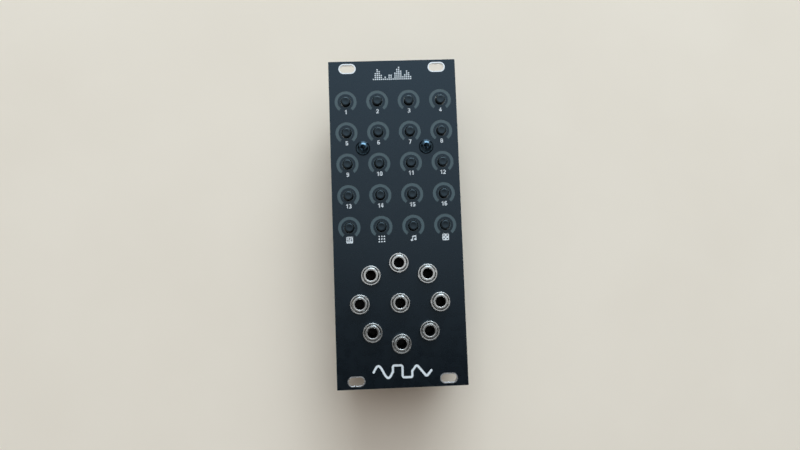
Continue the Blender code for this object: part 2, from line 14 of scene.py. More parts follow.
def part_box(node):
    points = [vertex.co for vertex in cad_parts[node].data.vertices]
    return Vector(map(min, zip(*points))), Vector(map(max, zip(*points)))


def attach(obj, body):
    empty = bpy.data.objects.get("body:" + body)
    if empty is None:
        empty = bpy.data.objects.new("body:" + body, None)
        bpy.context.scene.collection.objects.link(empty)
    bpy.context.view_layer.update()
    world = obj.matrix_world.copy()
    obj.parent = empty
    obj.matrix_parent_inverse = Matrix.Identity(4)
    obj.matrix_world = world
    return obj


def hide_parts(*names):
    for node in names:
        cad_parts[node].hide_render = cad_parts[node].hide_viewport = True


MM = 0.001

# Points of a filled outline that are closer than this, in millimetres, become one
WELD_DISTANCE = 0.0005

# Panel: skins of lacquer on a laminate core, plated slots, light windows and white print
MASK_THICKNESS = 0.04
MASK_SETBACK = 0.12
PRINT_THICKNESS = 0.03
SLOT_LENGTH = 6.0
SLOT_WIDTH = 3.2
SLOT_SIDE_INSET = 7.47
SLOT_END_INSET = 3.0
PLATING_THICKNESS = 0.05
PLATING_RIM = 0.44
PANEL_CORNER = 0.25
BUTTON_HOLE_RADIUS = 2.1
BUSHING_HOLE_RADIUS = 3.25
SCREW_HOLE_RADIUS = 1.7
WINDOW_INNER_RADIUS = 3.15
WINDOW_OUTER_RADIUS = 4.35
WINDOW_GAP_DEGREES = 75
NUMBER_HEIGHT = 1.7
NUMBER_DROP = 4.06
FIGURE_ADVANCE = 0.69
ICON_DROP = 4.8
ICON_SIDE = 2.6
LEVEL_DISPLAY_BASE = 56.7
WAVE_LINE_MIDDLE = -58.0

# Stack behind the panel
BOARD_THICKNESS = 1.6
SWITCH_SIDE = 6.0
SWITCH_HEIGHT = 3.5
PLUNGER_RADIUS = 1.75
LAMP_OFFSET = 4.9
LAMP_SIZE = (3.5, 2.8, 1.9)

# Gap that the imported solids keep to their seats, which the finer shapes close
SEAT_GAP = 0.3

# Jack: where its sleeve, switch and tip pins stand along Y, and the sizes of its turned parts
JACK_PIN_OFFSETS = (5.63, 3.38, -4.07)
JACK_PIN_SIZE = (1.0, 0.6)
JACK_BORE_RADIUS = 2.0
BUSHING_RADIUS = 3.0
BUSHING_BORE_RADIUS = 1.8
THREAD_PITCH = 0.5
THREAD_DEPTH = 0.22
NUT_BORE_RADIUS = 3.2
NUT_RADIUS = 3.8
NUT_SLOT_DEPTH = 0.85
KNURLS = 54
KNURL_DEPTH = 0.02
NUT_ANGLES = (95, 15, -5, 30, -22, -40, 40, 22, -42)

# Fasteners
SCREW_RADIUS = 1.5
SCREW_PITCH = 0.5
SCREW_THREAD_DEPTH = 0.28

# Angles of the left and right screws, on the panel and behind the board
SCREW_TURNS = ((17, 25), (41, 60))

# Small chips on the rear face: each a name, its leads on a side, its length and its places
SMALL_CHIPS = (
    ("lamp_driver", 8, 9.9, ((-15.5, 11.0), (15.5, 11.0))),
    ("quad_amplifier", 7, 8.65, ((-15.5, -4.5), (15.5, -4.5))),
    ("converter", 4, 4.9, ((0.0, -5.8),)),
)
CHIP_WIDTH = 3.9
CHIP_HEIGHT = 1.6
CHIP_STAND = 0.1
CHIP_REACH = 1.05
CHIP_PITCH = 1.27
FINE_PITCH = 0.5
FINE_LEAD = 0.22
CHIP_LEAD = 0.42
CONTROLLER_REACH = 1.0
REGULATOR_REACH = 1.75
REGULATOR_SIDES = ((0, (-2.3, 0.0, 2.3), 0.75), (180, (0.0,), 3.0))
CRYSTAL_PLACE = (9.6, 7.6)
PROGRAMMING_PLACE = (20.5, 38.0)
PROGRAMMING_PINS = 5

# Copper runs: widths of the thin, medium and wide ones and of a filled area; the middle and count of
# the rows of leads that fan out to vias, how far from the middle line these runs end, by turns less
# or more far, and how far beyond their ends the vias stand; and the height below which a jack has a
# fourth run
RUN_WIDTHS = (0.26, 0.3, 1.1, 4.4)
FAN_ROWS = ((11.0, 8), (-4.5, 7))
FAN_OUTER_END = 19.7
FAN_INNER_END = 11.4
FAN_STAGGER = 0.9
VIA_REACH = 0.25
LOWER_JACKS = -25

# How far a jack's resistor and capacitor stand to its sides, and the pitch of the resistor bank
JACK_PART_SIDE = 3.3
BANK_PITCH = 2.2

# Power header
HEADER_WALL = 1.2
HEADER_FLOOR = 2.3
HEADER_NOTCH = 4.5
HEADER_PIN_PITCH = 2.54
HEADER_PIN_SIDE = 0.64

# Room: the middle of its window light, its colour from away from there (0) to there (1), and the
# pale horizon round it
WINDOW_MIDDLE = (0.122, 0.756, 0.643)
ROOM = (
    (0.00, (0.16, 0.16, 0.16)), (1.00, (1.20, 1.42, 1.56)), (0.22, (0.07, 0.07, 0.07)),
    (0.42, (0.01, 0.01, 0.01)), (0.51, (0.01, 0.01, 0.01)), (0.58, (0.05, 0.05, 0.05)),
    (0.66, (0.76, 0.77, 0.77)), (0.78, (0.95, 0.97, 0.99)), (0.88, (1.12, 1.30, 1.42)),
)
HORIZON = (0.76, 0.75, 0.73)
HORIZON_RISE = (0.05, 0.28)

# Floor: how far it reaches, and the distances over which it passes into the horizon, in metres
FLOOR_REACH = 6.0
FLOOR_FADE = (0.3, 0.9)

# Values between which most of a noise texture lies, and the scale of the rings on turned metal
NOISE_RANGE = (0.3, 0.7)
TOOL_RING = 0.224

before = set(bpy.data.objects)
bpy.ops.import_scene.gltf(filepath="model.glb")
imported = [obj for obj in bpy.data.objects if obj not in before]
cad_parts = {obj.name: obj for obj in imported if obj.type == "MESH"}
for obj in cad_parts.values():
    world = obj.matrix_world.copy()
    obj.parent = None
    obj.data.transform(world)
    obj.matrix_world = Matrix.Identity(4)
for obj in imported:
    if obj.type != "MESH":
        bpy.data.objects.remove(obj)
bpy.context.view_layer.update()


def box(node):
    """Lowest and highest corners of a solid, in millimetres."""
    low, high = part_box(node)
    return low / MM, high / MM


def middle(node):
    low, high = box(node)
    return (low + high) / 2


def extent(node):
    """Width, length and height of a solid, in millimetres."""
    low, high = box(node)
    return high - low


panel_low, panel_high = box("front_panel")
board_low = box("control_board")[0]
board_front = board_low.z + BOARD_THICKNESS
numbered = [f"button_{number}" for number in range(1, 17)]
functions = [f"function_button_{number}" for number in range(1, 5)]
button_nodes = numbered + functions
button_places = [tuple(middle(node).xy) for node in button_nodes]
jack_places = [tuple(middle(f"jack_bushing_{number}").xy) for number in range(1, 10)]
screw_places = {side: tuple(middle(f"panel_screw_{side}").xy) for side in ("left", "right")}
header_place = tuple(middle("power_header").xy)

# Two-ended parts on the rear, each x, y and whether it lies along Y: one resistor and one capacitor
# beside each jack, the rest listed one by one
RESISTORS = [(x + JACK_PART_SIDE, y + 0.5, True) for x, y in jack_places]
RESISTORS += [(x, y, True) for x in (-5.5, -3.3, -1.1, 1.1, 3.3, 5.5) for y in (19.8, 22.8)]
CAPACITORS = [(x - JACK_PART_SIDE, y + 0.5, True) for x, y in jack_places]
CAPACITORS += [
    (-8.3, 4.0, True), (-9.0, 16.6, True), (8.0, 3.4, False), (9.0, 16.6, True),
    (-15.5, 18.0, False), (15.5, 18.0, False), (-15.5, 2.0, False), (15.5, 2.0, False),
    (-20.4, 42.0, True), (-9.0, 44.5, True), (-9.0, 39.5, True), (0.0, -1.4, False),
]
DIODES = [(9.6, 45.0, False), (9.6, 41.8, False)]


def polar(radius, angle, centre=(0.0, 0.0)):
    return (centre[0] + radius * math.cos(angle), centre[1] + radius * math.sin(angle))


def swapped(along_y, along, across):
    """The x and y of two lengths, along and across a part that may lie along Y."""
    return (across, along) if along_y else (along, across)


def row(count, pitch):
    """Offsets of a centred row."""
    return [pitch * (i - (count - 1) / 2) for i in range(count)]


def circle(radius, segments=48, centre=(0.0, 0.0)):
    """Points of a circle, anticlockwise."""
    return [polar(radius, 2 * math.pi * step / segments, centre) for step in range(segments)]


def arc(radius, start, end, steps, centre=(0.0, 0.0)):
    """Points of an arc between two angles in degrees."""
    angles = [start + (end - start) * step / steps for step in range(steps + 1)]
    return [polar(radius, math.radians(angle), centre) for angle in angles]


def filleted(corners, steps=4):
    """Points of a line whose corners, each x, y and a radius, are rounded."""
    points = []
    for i, (x, y, radius) in enumerate(corners):
        here = Vector((x, y))
        if not radius:
            points.append((x, y))
            continue
        before = (Vector(corners[i - 1][:2]) - here).normalized()
        after = (Vector(corners[(i + 1) % len(corners)][:2]) - here).normalized()
        half = before.angle(after) / 2
        centre = here + (before + after).normalized() * radius / math.sin(half)
        first = here + before * radius / math.tan(half) - centre
        last = here + after * radius / math.tan(half) - centre
        start = math.degrees(math.atan2(first.y, first.x))
        turn = math.degrees(math.atan2(last.y, last.x)) - start
        turn = (turn + 180) % 360 - 180
        points.extend(arc(radius, start, start + turn, steps, centre))
    return points


def rectangle(width, length, corner=0.0, centre=(0.0, 0.0), steps=4):
    """Points of a rectangle with rounded corners, anticlockwise."""
    x, y = centre
    corners = []
    for side, end in ((1, -1), (1, 1), (-1, 1), (-1, -1)):
        corners.append((x + side * width / 2, y + end * length / 2, corner))
    return filleted(corners, steps)


def stadium(radius, straight, centre=(0.0, 0.0), steps=16):
    """Points of a slot along X with round ends, anticlockwise."""
    right = arc(radius, -90, 90, steps, (centre[0] + straight / 2, centre[1]))
    left = arc(radius, 90, 270, steps, (centre[0] - straight / 2, centre[1]))
    return right + left


def ribbon(path, width, end_steps=0):
    """Closed outline of a stroke along a path, with round ends if they have steps."""
    points = [Vector(point) for point in path]
    left, right = [], []
    for i, here in enumerate(points):
        ahead = (points[min(i + 1, len(points) - 1)] - here).normalized()
        behind = (here - points[max(i - 1, 0)]).normalized()
        along = (ahead + behind).normalized()
        mitre = max(along.dot(ahead if i < len(points) - 1 else behind), 0.5)
        across = Vector((-along.y, along.x)) * width / 2 / mitre
        left.append(here + across)
        right.append(here - across)
    outline = [tuple(point) for point in right]
    for centre, far_side in ((points[-1], left[-1]), (points[0], right[0])):
        near_side = 2 * centre - far_side
        if end_steps:
            start = math.degrees(math.atan2(*(near_side - centre).yx))
            cap = arc(width / 2, start, start + 180, end_steps, tuple(centre))
            outline.extend(cap[1:-1])
        if centre is points[-1]:
            outline.extend(tuple(point) for point in reversed(left))
    return outline


def raised(outline, height):
    return [(x, y, height) for x, y in outline]


def add_loft(bm, rings, closed=False):
    """Adds the solid through rings of equally many points; an open row of rings is capped flat."""
    loops = [[bm.verts.new(point) for point in ring] for ring in rings]
    for step in range(len(loops) if closed else len(loops) - 1):
        lower, upper = loops[step], loops[(step + 1) % len(loops)]
        for i in range(len(lower)):
            j = (i + 1) % len(lower)
            bm.faces.new((lower[i], lower[j], upper[j], upper[i]))
    if not closed:
        bm.faces.new(list(reversed(loops[0])))
        bm.faces.new(loops[-1])


def add_turned(bm, profile, segments=48, centre=(0.0, 0.0), closed=False, wave=None):
    """Adds a profile of (radius, height) points turned about an upright axis.

    A closed profile makes a ring. A wave changes each radius with its height and angle.
    """
    rings = []
    angles = [2 * math.pi * step / segments for step in range(segments)]
    for radius, height in profile:
        reaches = [wave(radius, height, angle) if wave else radius for angle in angles]
        turn = zip(reaches, angles)
        rings.append([(*polar(reach, angle, centre), height) for reach, angle in turn])
    add_loft(bm, rings, closed)


def add_prism(bm, outline, low, high, place=None):
    """Adds the straight solid of an outline between two heights, moved by a matrix if one is given."""
    rings = [raised(outline, low), raised(outline, high)]
    if place:
        rings = [[place @ Vector(point) for point in ring] for ring in rings]
    add_loft(bm, rings)


def add_moulded(bm, size, base, corner, edge, centre=(0.0, 0.0), draft=0.0, steps=3):
    """Adds a block from its base up, with round corners, a round top edge and drafted sides."""
    width, length, height = size
    levels = [(0.0, 0.0)]
    for step in range(steps + 1):
        angle = math.pi / 2 * step / steps
        inset = draft * height + edge * (1 - math.cos(angle))
        levels.append((inset, height - edge + edge * math.sin(angle)))
    rings = []
    for inset, rise in levels:
        rounding = max(corner - inset * 0.5, 0.02)
        outline = rectangle(width - 2 * inset, length - 2 * inset, rounding, centre)
        rings.append(raised(outline, base + rise))
    add_loft(bm, rings)


def made(add, *arguments, **settings):
    """A new bmesh that holds what one of the add functions adds."""
    bm = bmesh.new()
    add(bm, *arguments, **settings)
    return bm


def placed(name, data):
    """A new object in the scene."""
    piece = bpy.data.objects.new(name, data)
    bpy.context.scene.collection.objects.link(piece)
    return piece


def evaluated(holder):
    """A new mesh of an object as its curve or modifiers shape it."""
    bpy.context.view_layer.update()
    graph = bpy.context.evaluated_depsgraph_get()
    return bpy.data.meshes.new_from_object(holder.evaluated_get(graph))


def used_up(bm):
    """A helper mesh that takes over a bmesh."""
    mesh = bpy.data.meshes.new("helper")
    bm.to_mesh(mesh)
    bm.free()
    return mesh


def absorb(whole, bm):
    """Adds a bmesh to another, and uses it up."""
    mesh = used_up(bm)
    whole.from_mesh(mesh)
    bpy.data.meshes.remove(mesh)


def plate(outlines, low, high):
    """A bmesh of the flat plates inside outlines, where an outline inside another is a hole."""
    curve = bpy.data.curves.new("helper", "CURVE")
    curve.dimensions = "2D"
    curve.fill_mode = "BOTH"
    curve.extrude = (high - low) / 2
    for outline in outlines:
        spline = curve.splines.new("POLY")
        spline.points.add(len(outline) - 1)
        for point, (x, y) in zip(spline.points, outline):
            point.co = (x, y, 0.0, 1.0)
        spline.use_cyclic_u = True
    holder = placed("helper", curve)
    mesh = evaluated(holder)
    bm = bmesh.new()
    bm.from_mesh(mesh)
    bpy.data.objects.remove(holder)
    bpy.data.curves.remove(curve)
    bpy.data.meshes.remove(mesh)
    bmesh.ops.remove_doubles(bm, verts=bm.verts, dist=WELD_DISTANCE)
    bm.transform(Matrix.Translation((0.0, 0.0, (low + high) / 2)))
    return bm


def combined(base, other, operation="DIFFERENCE"):
    """One bmesh cut by another, or joined with it, or what both share. Both are used up."""
    holders = []
    for bm in (base, other):
        bmesh.ops.recalc_face_normals(bm, faces=bm.faces)
        holders.append(placed("helper", used_up(bm)))
    boolean = holders[0].modifiers.new("boolean", "BOOLEAN")
    boolean.operation = operation
    boolean.object = holders[1]
    mesh = evaluated(holders[0])
    result = bmesh.new()
    result.from_mesh(mesh)
    for holder in holders:
        bpy.data.objects.remove(holder)
    bpy.data.meshes.remove(mesh)
    return result


def joined(*parts, smooth=35):
    """One mesh at its real size from parts drawn in millimetres, each a bmesh with its material."""
    whole = bmesh.new()
    materials = []
    for bm, material in parts:
        if material not in materials:
            materials.append(material)
        bmesh.ops.recalc_face_normals(bm, faces=bm.faces)
        for face in bm.faces:
            face.material_index = materials.index(material)
        absorb(whole, bm)
    whole.transform(Matrix.Scale(MM, 4))
    mesh = bpy.data.meshes.new("shape")
    whole.to_mesh(mesh)
    whole.free()
    for material in materials:
        mesh.materials.append(material)
    mesh.shade_smooth()
    mesh.set_sharp_from_angle(angle=math.radians(smooth))
    return mesh


def put(name, mesh, slot, body="module", place=(0, 0, 0), turn=0.0, flipped=False, replaces=()):
    """Places a mesh as a named piece that rides on a body; a flipped one hangs from its place."""
    piece = placed(name, mesh)
    piece.location = Vector(place) * MM
    piece.rotation_euler = (math.pi if flipped else 0.0, 0.0, math.radians(turn))
    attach(piece, body)
    if replaces:
        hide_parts(*replaces)


def put_behind(name, mesh, slot, xy=(0.0, 0.0), turn=0.0, replaces=()):
    """Hangs a mesh from the control board's rear face, at a place x, y."""
    put(name, mesh, slot, place=(*xy, board_low.z), turn=turn, flipped=True, replaces=replaces)


def finish(name, colour, roughness, metallic=0.0, **sockets):
    """A material of one colour, ready for texture."""
    material = bpy.data.materials.new(name)
    material.use_nodes = True
    inputs = material.node_tree.nodes["Principled BSDF"].inputs
    sockets.update(Base_Color=(*colour, 1.0), Roughness=roughness, Metallic=metallic)
    for socket, value in sockets.items():
        inputs[socket.replace("_", " ")].default_value = value
    return material


def add_node(tree, kind, **values):
    """A new node, its inputs set or linked and its settings made; in a name, _ stands for a space."""
    node = tree.nodes.new(kind)
    for name, value in values.items():
        socket = node.inputs.get(name.replace("_", " "))
        if socket is None:
            setattr(node, name, value)
        elif isinstance(value, bpy.types.NodeSocket):
            tree.links.new(value, socket)
        else:
            socket.default_value = value
    return node


def remapped(tree, source, start, end, low=0.0, high=1.0, **settings):
    """A value carried from one range to another."""
    node = add_node(
        tree, "ShaderNodeMapRange", Value=source, From_Min=start, From_Max=end, To_Min=low,
        To_Max=high, **settings,
    )
    return node.outputs["Result"]


def feed(material, source, name):
    """Links a value to an input of the material's shader."""
    tree = material.node_tree
    tree.links.new(source, tree.nodes["Principled BSDF"].inputs[name])


def texture(material, kind, size, stretch=(1.0, 1.0, 1.0), **settings):
    """A texture on the piece's own coordinates, whose features are about this many millimetres."""
    tree = material.node_tree
    place = add_node(tree, "ShaderNodeTexCoord").outputs["Object"]
    scale = [factor / (size * MM) for factor in stretch]
    mapping = add_node(tree, "ShaderNodeMapping", Vector=place, Scale=scale)
    node = add_node(tree, kind, Vector=mapping.outputs["Vector"], Scale=1.0, **settings)
    return node.outputs[0 if kind == "ShaderNodeTexNoise" else 1]


def noise(material, size, detail=2.0, stretch=(1.0, 1.0, 1.0)):
    return texture(material, "ShaderNodeTexNoise", size, stretch, Detail=detail)


def vary_roughness(material, source, low, high):
    """Lets a texture move the roughness between two values."""
    feed(material, remapped(material.node_tree, source, *NOISE_RANGE, low, high), "Roughness")


def vary_colour(material, source, first, second, start=0.35, end=0.65):
    """Lets a texture blend two colours."""
    ramp = add_node(material.node_tree, "ShaderNodeValToRGB", Fac=source)
    for element, position, colour in zip(ramp.color_ramp.elements, (start, end), (first, second)):
        element.position = position
        element.color = (*colour, 1.0)
    feed(material, ramp.outputs["Color"], "Base Color")


def add_relief(material, source, depth):
    """Lets a texture raise the surface by a depth in millimetres."""
    bump = add_node(material.node_tree, "ShaderNodeBump", Distance=depth * MM, Height=source)
    feed(material, bump.outputs["Normal"], "Normal")


def uneven(name, colour, roughness, spread, patch, grain, depth, metallic=0.0, **sockets):
    """A surface whose gloss varies in patches and which has a grain, all sized in millimetres."""
    material = finish(name, colour, roughness, metallic, **sockets)
    low, high = spread
    vary_roughness(material, noise(material, patch), roughness + low, roughness + high)
    add_relief(material, noise(material, grain), depth)
    return material


def solder_mask(name, colour):
    """Satin lacquer over laminate, with a faint orange-peel surface and a painted blue sheen."""
    # Painted blue sheen: this specular tint gives the lacquer's reflections the window light's blue.
    sheen_tint_painted_blue = (0.58, 0.79, 0.98, 1.0)
    spread = (-0.03, 0.03)
    return uneven(name, colour, 0.28, spread, 3.0, 0.35, 0.0016, IOR=1.6, Specular_Tint=sheen_tint_painted_blue)


def laminate():
    """Glass-epoxy board material with its woven fibres faintly showing."""
    material = finish("laminate", (0.058, 0.092, 0.106), 0.34)
    warp = texture(material, "ShaderNodeTexWave", 1.6, bands_direction="X", Distortion=1.5)
    weft = texture(material, "ShaderNodeTexWave", 1.6, bands_direction="Y", Distortion=1.5)
    vary_colour(material, warp, (0.052, 0.084, 0.098), (0.064, 0.100, 0.114), 0.2, 0.8)
    add_relief(material, weft, 0.003)
    return material


def screen_print():
    """Opaque white ink with a dry, slightly uneven surface."""
    material = finish("screen_print", (0.74, 0.77, 0.80), 0.55)
    vary_colour(material, noise(material, 0.25, 3.0), (0.66, 0.69, 0.72), (0.80, 0.83, 0.86))
    add_relief(material, noise(material, 0.12), 0.004)
    return material


def plastic(name, colour, roughness, grain=0.12, depth=0.003, **sockets):
    """Moulded plastic: a fine eroded grain and slightly uneven gloss."""
    return uneven(name, colour, roughness, (-0.05, 0.06), 1.5, grain, depth, **sockets)


def turned_metal(name, colour, roughness, depth=0.0002):
    """Plated metal with the tool's fine rings about its axis and a few soft stains."""
    material = finish(name, colour, roughness, 1.0)
    lines = texture(
        material, "ShaderNodeTexWave", TOOL_RING, (1.0, 1.0, 0.0), wave_type="RINGS",
        rings_direction="Z", Distortion=0.6,
    )
    vary_roughness(material, noise(material, 1.5, 2.0), roughness - 0.04, roughness + 0.05)
    add_relief(material, lines, depth)
    return material


def rolled_metal(name, colour, roughness):
    """Sheet or wire metal with a fine grain and uneven gloss."""
    material = finish(name, colour, roughness, 1.0)
    vary_roughness(material, noise(material, 0.5, 3.0), roughness - 0.06, roughness + 0.08)
    add_relief(material, noise(material, 0.2, 2.0, (1.0, 0.15, 1.0)), 0.0015)
    return material


# The panel lacquer's near-black colour leans blue: painted window-light blue on a black lacquer.
PANEL_MASK = solder_mask("panel_mask", (0.0010, 0.0022, 0.0038))
BOARD_MASK = solder_mask("board_mask", (0.0080, 0.0100, 0.0095))
TRACE_MASK = solder_mask("trace_mask", (0.0150, 0.0185, 0.0170))
LAMINATE = laminate()
TINNED = uneven("tinned", (0.76, 0.77, 0.79), 0.3, (-0.08, 0.08), 0.8, 0.9, 0.012, 1.0)
SOLDER = uneven("solder", (0.72, 0.73, 0.74), 0.2, (-0.06, 0.10), 0.5, 0.6, 0.01, 1.0)
PRINT = screen_print()
# Black plunger plastic with a painted blue sheen: its blue specular tint stands in for the window
# light's blue.
PLUNGER_PLASTIC_PAINTED_SHEEN = plastic(
    "button_plastic", (0.008, 0.011, 0.014), 0.33, Specular_Tint=(0.62, 0.84, 1.0, 1.0)
)
SWITCH_PLASTIC = plastic("switch_plastic", (0.016, 0.016, 0.017), 0.50)
JACK_PLASTIC = plastic("jack_plastic_moulded", (0.012, 0.012, 0.013), 0.46, 0.2, 0.005)
HEADER_PLASTIC = plastic("header_plastic_moulded", (0.014, 0.014, 0.015), 0.55, 0.15, 0.006)
CHIP_EPOXY = plastic("chip_epoxy", (0.020, 0.020, 0.021), 0.62, 0.08, 0.006)
LAMP_PLASTIC = plastic("lamp_plastic", (0.78, 0.77, 0.73), 0.45)
CERAMIC_BUFF = plastic("ceramic_buff", (0.42, 0.31, 0.20), 0.5)
CERAMIC_WHITE = plastic("ceramic_white", (0.75, 0.75, 0.73), 0.5)
INK_BLACK = plastic("ink_black", (0.015, 0.015, 0.018), 0.4)
LENS = finish("lamp_resin", (0.80, 0.74, 0.48), 0.12, Coat_Weight=0.6, Subsurface_Weight=0.2)
add_relief(LENS, noise(LENS, 0.8), 0.004)
NICKEL = turned_metal("nickel_turned", (0.66, 0.67, 0.665), 0.20)
# Black oxide steel whose metal colour is tinted blue: a painted blue sheen that gives its highlights
# the window light's blue.
OXIDE_PAINTED_BLUE_SHEEN = turned_metal("oxide_with_painted_blue_sheen", (0.044, 0.074, 0.100), 0.17)
ZINC = turned_metal("zinc_plate", (0.62, 0.63, 0.66), 0.34)
BRASS = turned_metal("brass_turned", (0.78, 0.60, 0.30), 0.28, depth=0.00006)
STEEL = rolled_metal("bright_steel", (0.36, 0.37, 0.38), 0.42)
BRONZE = rolled_metal("spring_bronze", (0.74, 0.62, 0.42), 0.30)
GOLD = rolled_metal("gold_plate", (0.90, 0.66, 0.26), 0.22)
ALUMINIUM = turned_metal("can_drawn", (0.76, 0.77, 0.78), 0.32)


def slot_places():
    """Centres of the panel's four oval slots."""
    x, y = panel_high.x - SLOT_SIDE_INSET, panel_high.y - SLOT_END_INSET
    return [(x_side * x, y_side * y) for x_side in (-1, 1) for y_side in (-1, 1)]


def panel_outlines(setback=0.0):
    """The panel's edge and all its holes, which a setback makes wider."""
    width, length, _ = extent("front_panel")
    slot = SLOT_WIDTH / 2 + (PLATING_RIM if setback else PLATING_THICKNESS)
    hole = BUTTON_HOLE_RADIUS + setback * 1.2
    outlines = [rectangle(width - setback, length - setback, PANEL_CORNER)]
    outlines += [stadium(slot, SLOT_LENGTH - SLOT_WIDTH, place) for place in slot_places()]
    outlines += [circle(hole, 48, place) for place in button_places]
    outlines += [circle(BUSHING_HOLE_RADIUS, 64, place) for place in jack_places]
    outlines += [circle(SCREW_HOLE_RADIUS, 32, place) for place in screw_places.values()]
    return outlines


def window_outline(centre):
    """The C-shaped window round a button, open towards the panel's foot."""
    start = -90 + WINDOW_GAP_DEGREES / 2
    end = 270 - WINDOW_GAP_DEGREES / 2
    outer = arc(WINDOW_OUTER_RADIUS, start, end, 56, centre)
    inner = arc(WINDOW_INNER_RADIUS, end, start, 48, centre)
    return outer + inner


def figure_outlines():
    """The ten figures, one unit high, each an outline and its holes."""
    bowl = rectangle(0.22, 0.24, 0.09, (0.0, 0.32))
    one = [(0.17, 0), (0.17, 1), (-0.02, 1), (-0.25, 0.8), (-0.25, 0.6), (-0.04, 0.72), (-0.04, 0)]
    two = filleted([
        (-0.3, 0.66, 0), (-0.3, 1, 0.27), (0.31, 1, 0.27), (0.31, 0.53, 0.14), (0, 0.2, 0.02),
        (0.31, 0.2, 0), (0.31, 0, 0), (-0.31, 0, 0), (-0.31, 0.18, 0.04), (0.11, 0.62, 0.07),
        (0.11, 0.8, 0.07), (-0.1, 0.8, 0.07), (-0.1, 0.66, 0),
    ])
    three = filleted([
        (-0.28, 0.8, 0), (-0.28, 1, 0.02), (0.29, 1, 0.22), (0.29, 0.56, 0.07), (0.235, 0.515, 0),
        (0.31, 0.46, 0.07), (0.31, 0, 0.24), (-0.3, 0, 0.02), (-0.3, 0.2, 0), (0.11, 0.2, 0.09),
        (0.11, 0.42, 0.09), (-0.1, 0.42, 0), (-0.1, 0.61, 0), (0.09, 0.61, 0.08), (0.09, 0.8, 0.08),
    ])
    four = [
        (0.2, 0), (0.2, 0.2), (0.31, 0.2), (0.31, 0.38), (0.2, 0.38), (0.2, 1), (0, 1),
        (-0.32, 0.37), (-0.32, 0.2), (0.01, 0.2), (0.01, 0),
    ]
    five = filleted([
        (0.27, 0.8, 0), (0.27, 1, 0.02), (-0.27, 1, 0.02), (-0.29, 0.45, 0.02), (0.11, 0.45, 0.09),
        (0.11, 0.2, 0.09), (-0.3, 0.2, 0), (-0.3, 0, 0.02), (0.31, 0, 0.24), (0.31, 0.64, 0.22),
        (-0.09, 0.64, 0), (-0.08, 0.8, 0),
    ])
    six = filleted([
        (0.26, 1, 0.02), (-0.31, 1, 0.3), (-0.31, 0, 0.26), (0.31, 0, 0.26), (0.31, 0.64, 0.24),
        (-0.11, 0.64, 0), (-0.11, 0.8, 0.1), (0.26, 0.8, 0),
    ])
    seven = [(-0.3, 1), (0.31, 1), (0.31, 0.82), (0.02, 0), (-0.21, 0), (0.08, 0.8), (-0.3, 0.8)]
    eight = filleted([
        (-0.29, 1, 0.24), (-0.29, 0.56, 0.07), (-0.24, 0.515, 0), (-0.32, 0.46, 0.07),
        (-0.32, 0, 0.25), (0.32, 0, 0.25), (0.32, 0.46, 0.07), (0.24, 0.515, 0),
        (0.29, 0.56, 0.07), (0.29, 1, 0.24),
    ])
    nine = [[(-x, 1 - y) for x, y in outline] for outline in (six, bowl)]
    zero = [rectangle(0.64, 1.0, 0.28, (0.0, 0.5)), rectangle(0.24, 0.6, 0.11, (0.0, 0.5))]
    four_hole = [(0.01, 0.38), (0.01, 0.7), (-0.15, 0.38)]
    bowls = [rectangle(0.19, 0.19, 0.07, (0.0, 0.715)), rectangle(0.24, 0.23, 0.09, (0.0, 0.31))]
    figures = (
        zero, [one], [two], [three], [four, four_hole], [five], [six, bowl], [seven],
        [eight] + bowls, nine,
    )
    return {str(figure): outlines for figure, outlines in enumerate(figures)}


def print_plate(outlines):
    """A bmesh as thick as the print, halfway about zero."""
    return plate(outlines, -PRINT_THICKNESS / 2, PRINT_THICKNESS / 2)


def figure_shapes():
    """A bmesh of each figure, one unit high and as thick as the print."""
    return {figure: print_plate(outlines) for figure, outlines in figure_outlines().items()}


def number_parts(text, height, place, shapes):
    """The figures of a number, each with its place, centred on one point."""
    parts = []
    for i, figure in enumerate(text):
        shape = shapes[figure].copy()
        shape.transform(Matrix.Diagonal((height, height, 1.0, 1.0)))
        x = place[0] + height * FIGURE_ADVANCE * (i - (len(text) - 1) / 2)
        parts.append((shape, (x, place[1] - height / 2, place[2])))
    return parts


def gathered(parts):
    """One bmesh from several, each moved by its own place."""
    whole = bmesh.new()
    for bm, place in parts:
        bm.transform(Matrix.Translation(place))
        absorb(whole, bm)
    return whole


def icon_shapes():
    """Four plain signs for the function buttons: faders, a grid of dots, two notes and a die."""
    tile = rectangle(ICON_SIDE, ICON_SIDE, 0.4)
    faders = [tile]
    for x, knob in ((-0.72, -0.25), (0.0, 0.45), (0.72, -0.1)):
        rail, half = 0.08, 0.24
        corners = [(rail, -0.95), (rail, knob - 0.2), (half, knob - 0.2), (half, knob + 0.2)]
        corners += [(rail, knob + 0.2), (rail, 0.95)]
        mirrored = [(-a, b) for a, b in reversed(corners)]
        faders.append([(x + a, b) for a, b in corners + mirrored])
    grid = [circle(0.3, 16, (x, y)) for x in (-1, 0, 1) for y in (-1, 0, 1)]
    beam = [(-0.62, -0.75), (-0.62, 0.85), (0.98, 1.15), (0.98, -0.45), (0.7, -0.45), (0.7, 0.55)]
    notes = print_plate([beam + [(-0.34, 0.35), (-0.34, -0.75)]])
    for x, y in ((-0.75, -0.8), (0.57, -0.5)):
        head = [(px * 1.2 + x, py + y) for px, py in circle(0.4, 24)]
        notes = combined(notes, print_plate([head]), "UNION")
    die = [tile]
    for x, y in ((-0.68, -0.68), (0.68, 0.68), (0.0, 0.0), (-0.68, 0.68), (0.68, -0.68)):
        die.append(circle(0.27, 16, (x, y)))
    return [print_plate(faders), print_plate(grid), notes, print_plate(die)]


def level_display():
    """A field of small square dots standing like a level display, for the panel's head."""
    pitch, dot, columns, rows = 0.78, 0.52, 20, 7
    outlines = []
    for column, x in enumerate(row(columns, pitch)):
        swing = math.sin(column * 0.62) * math.cos(column * 0.23)
        for level in range(1 + round((rows - 1) * abs(swing))):
            outlines.append(rectangle(dot, dot, 0.1, (x, pitch * level), 1))
    return outlines


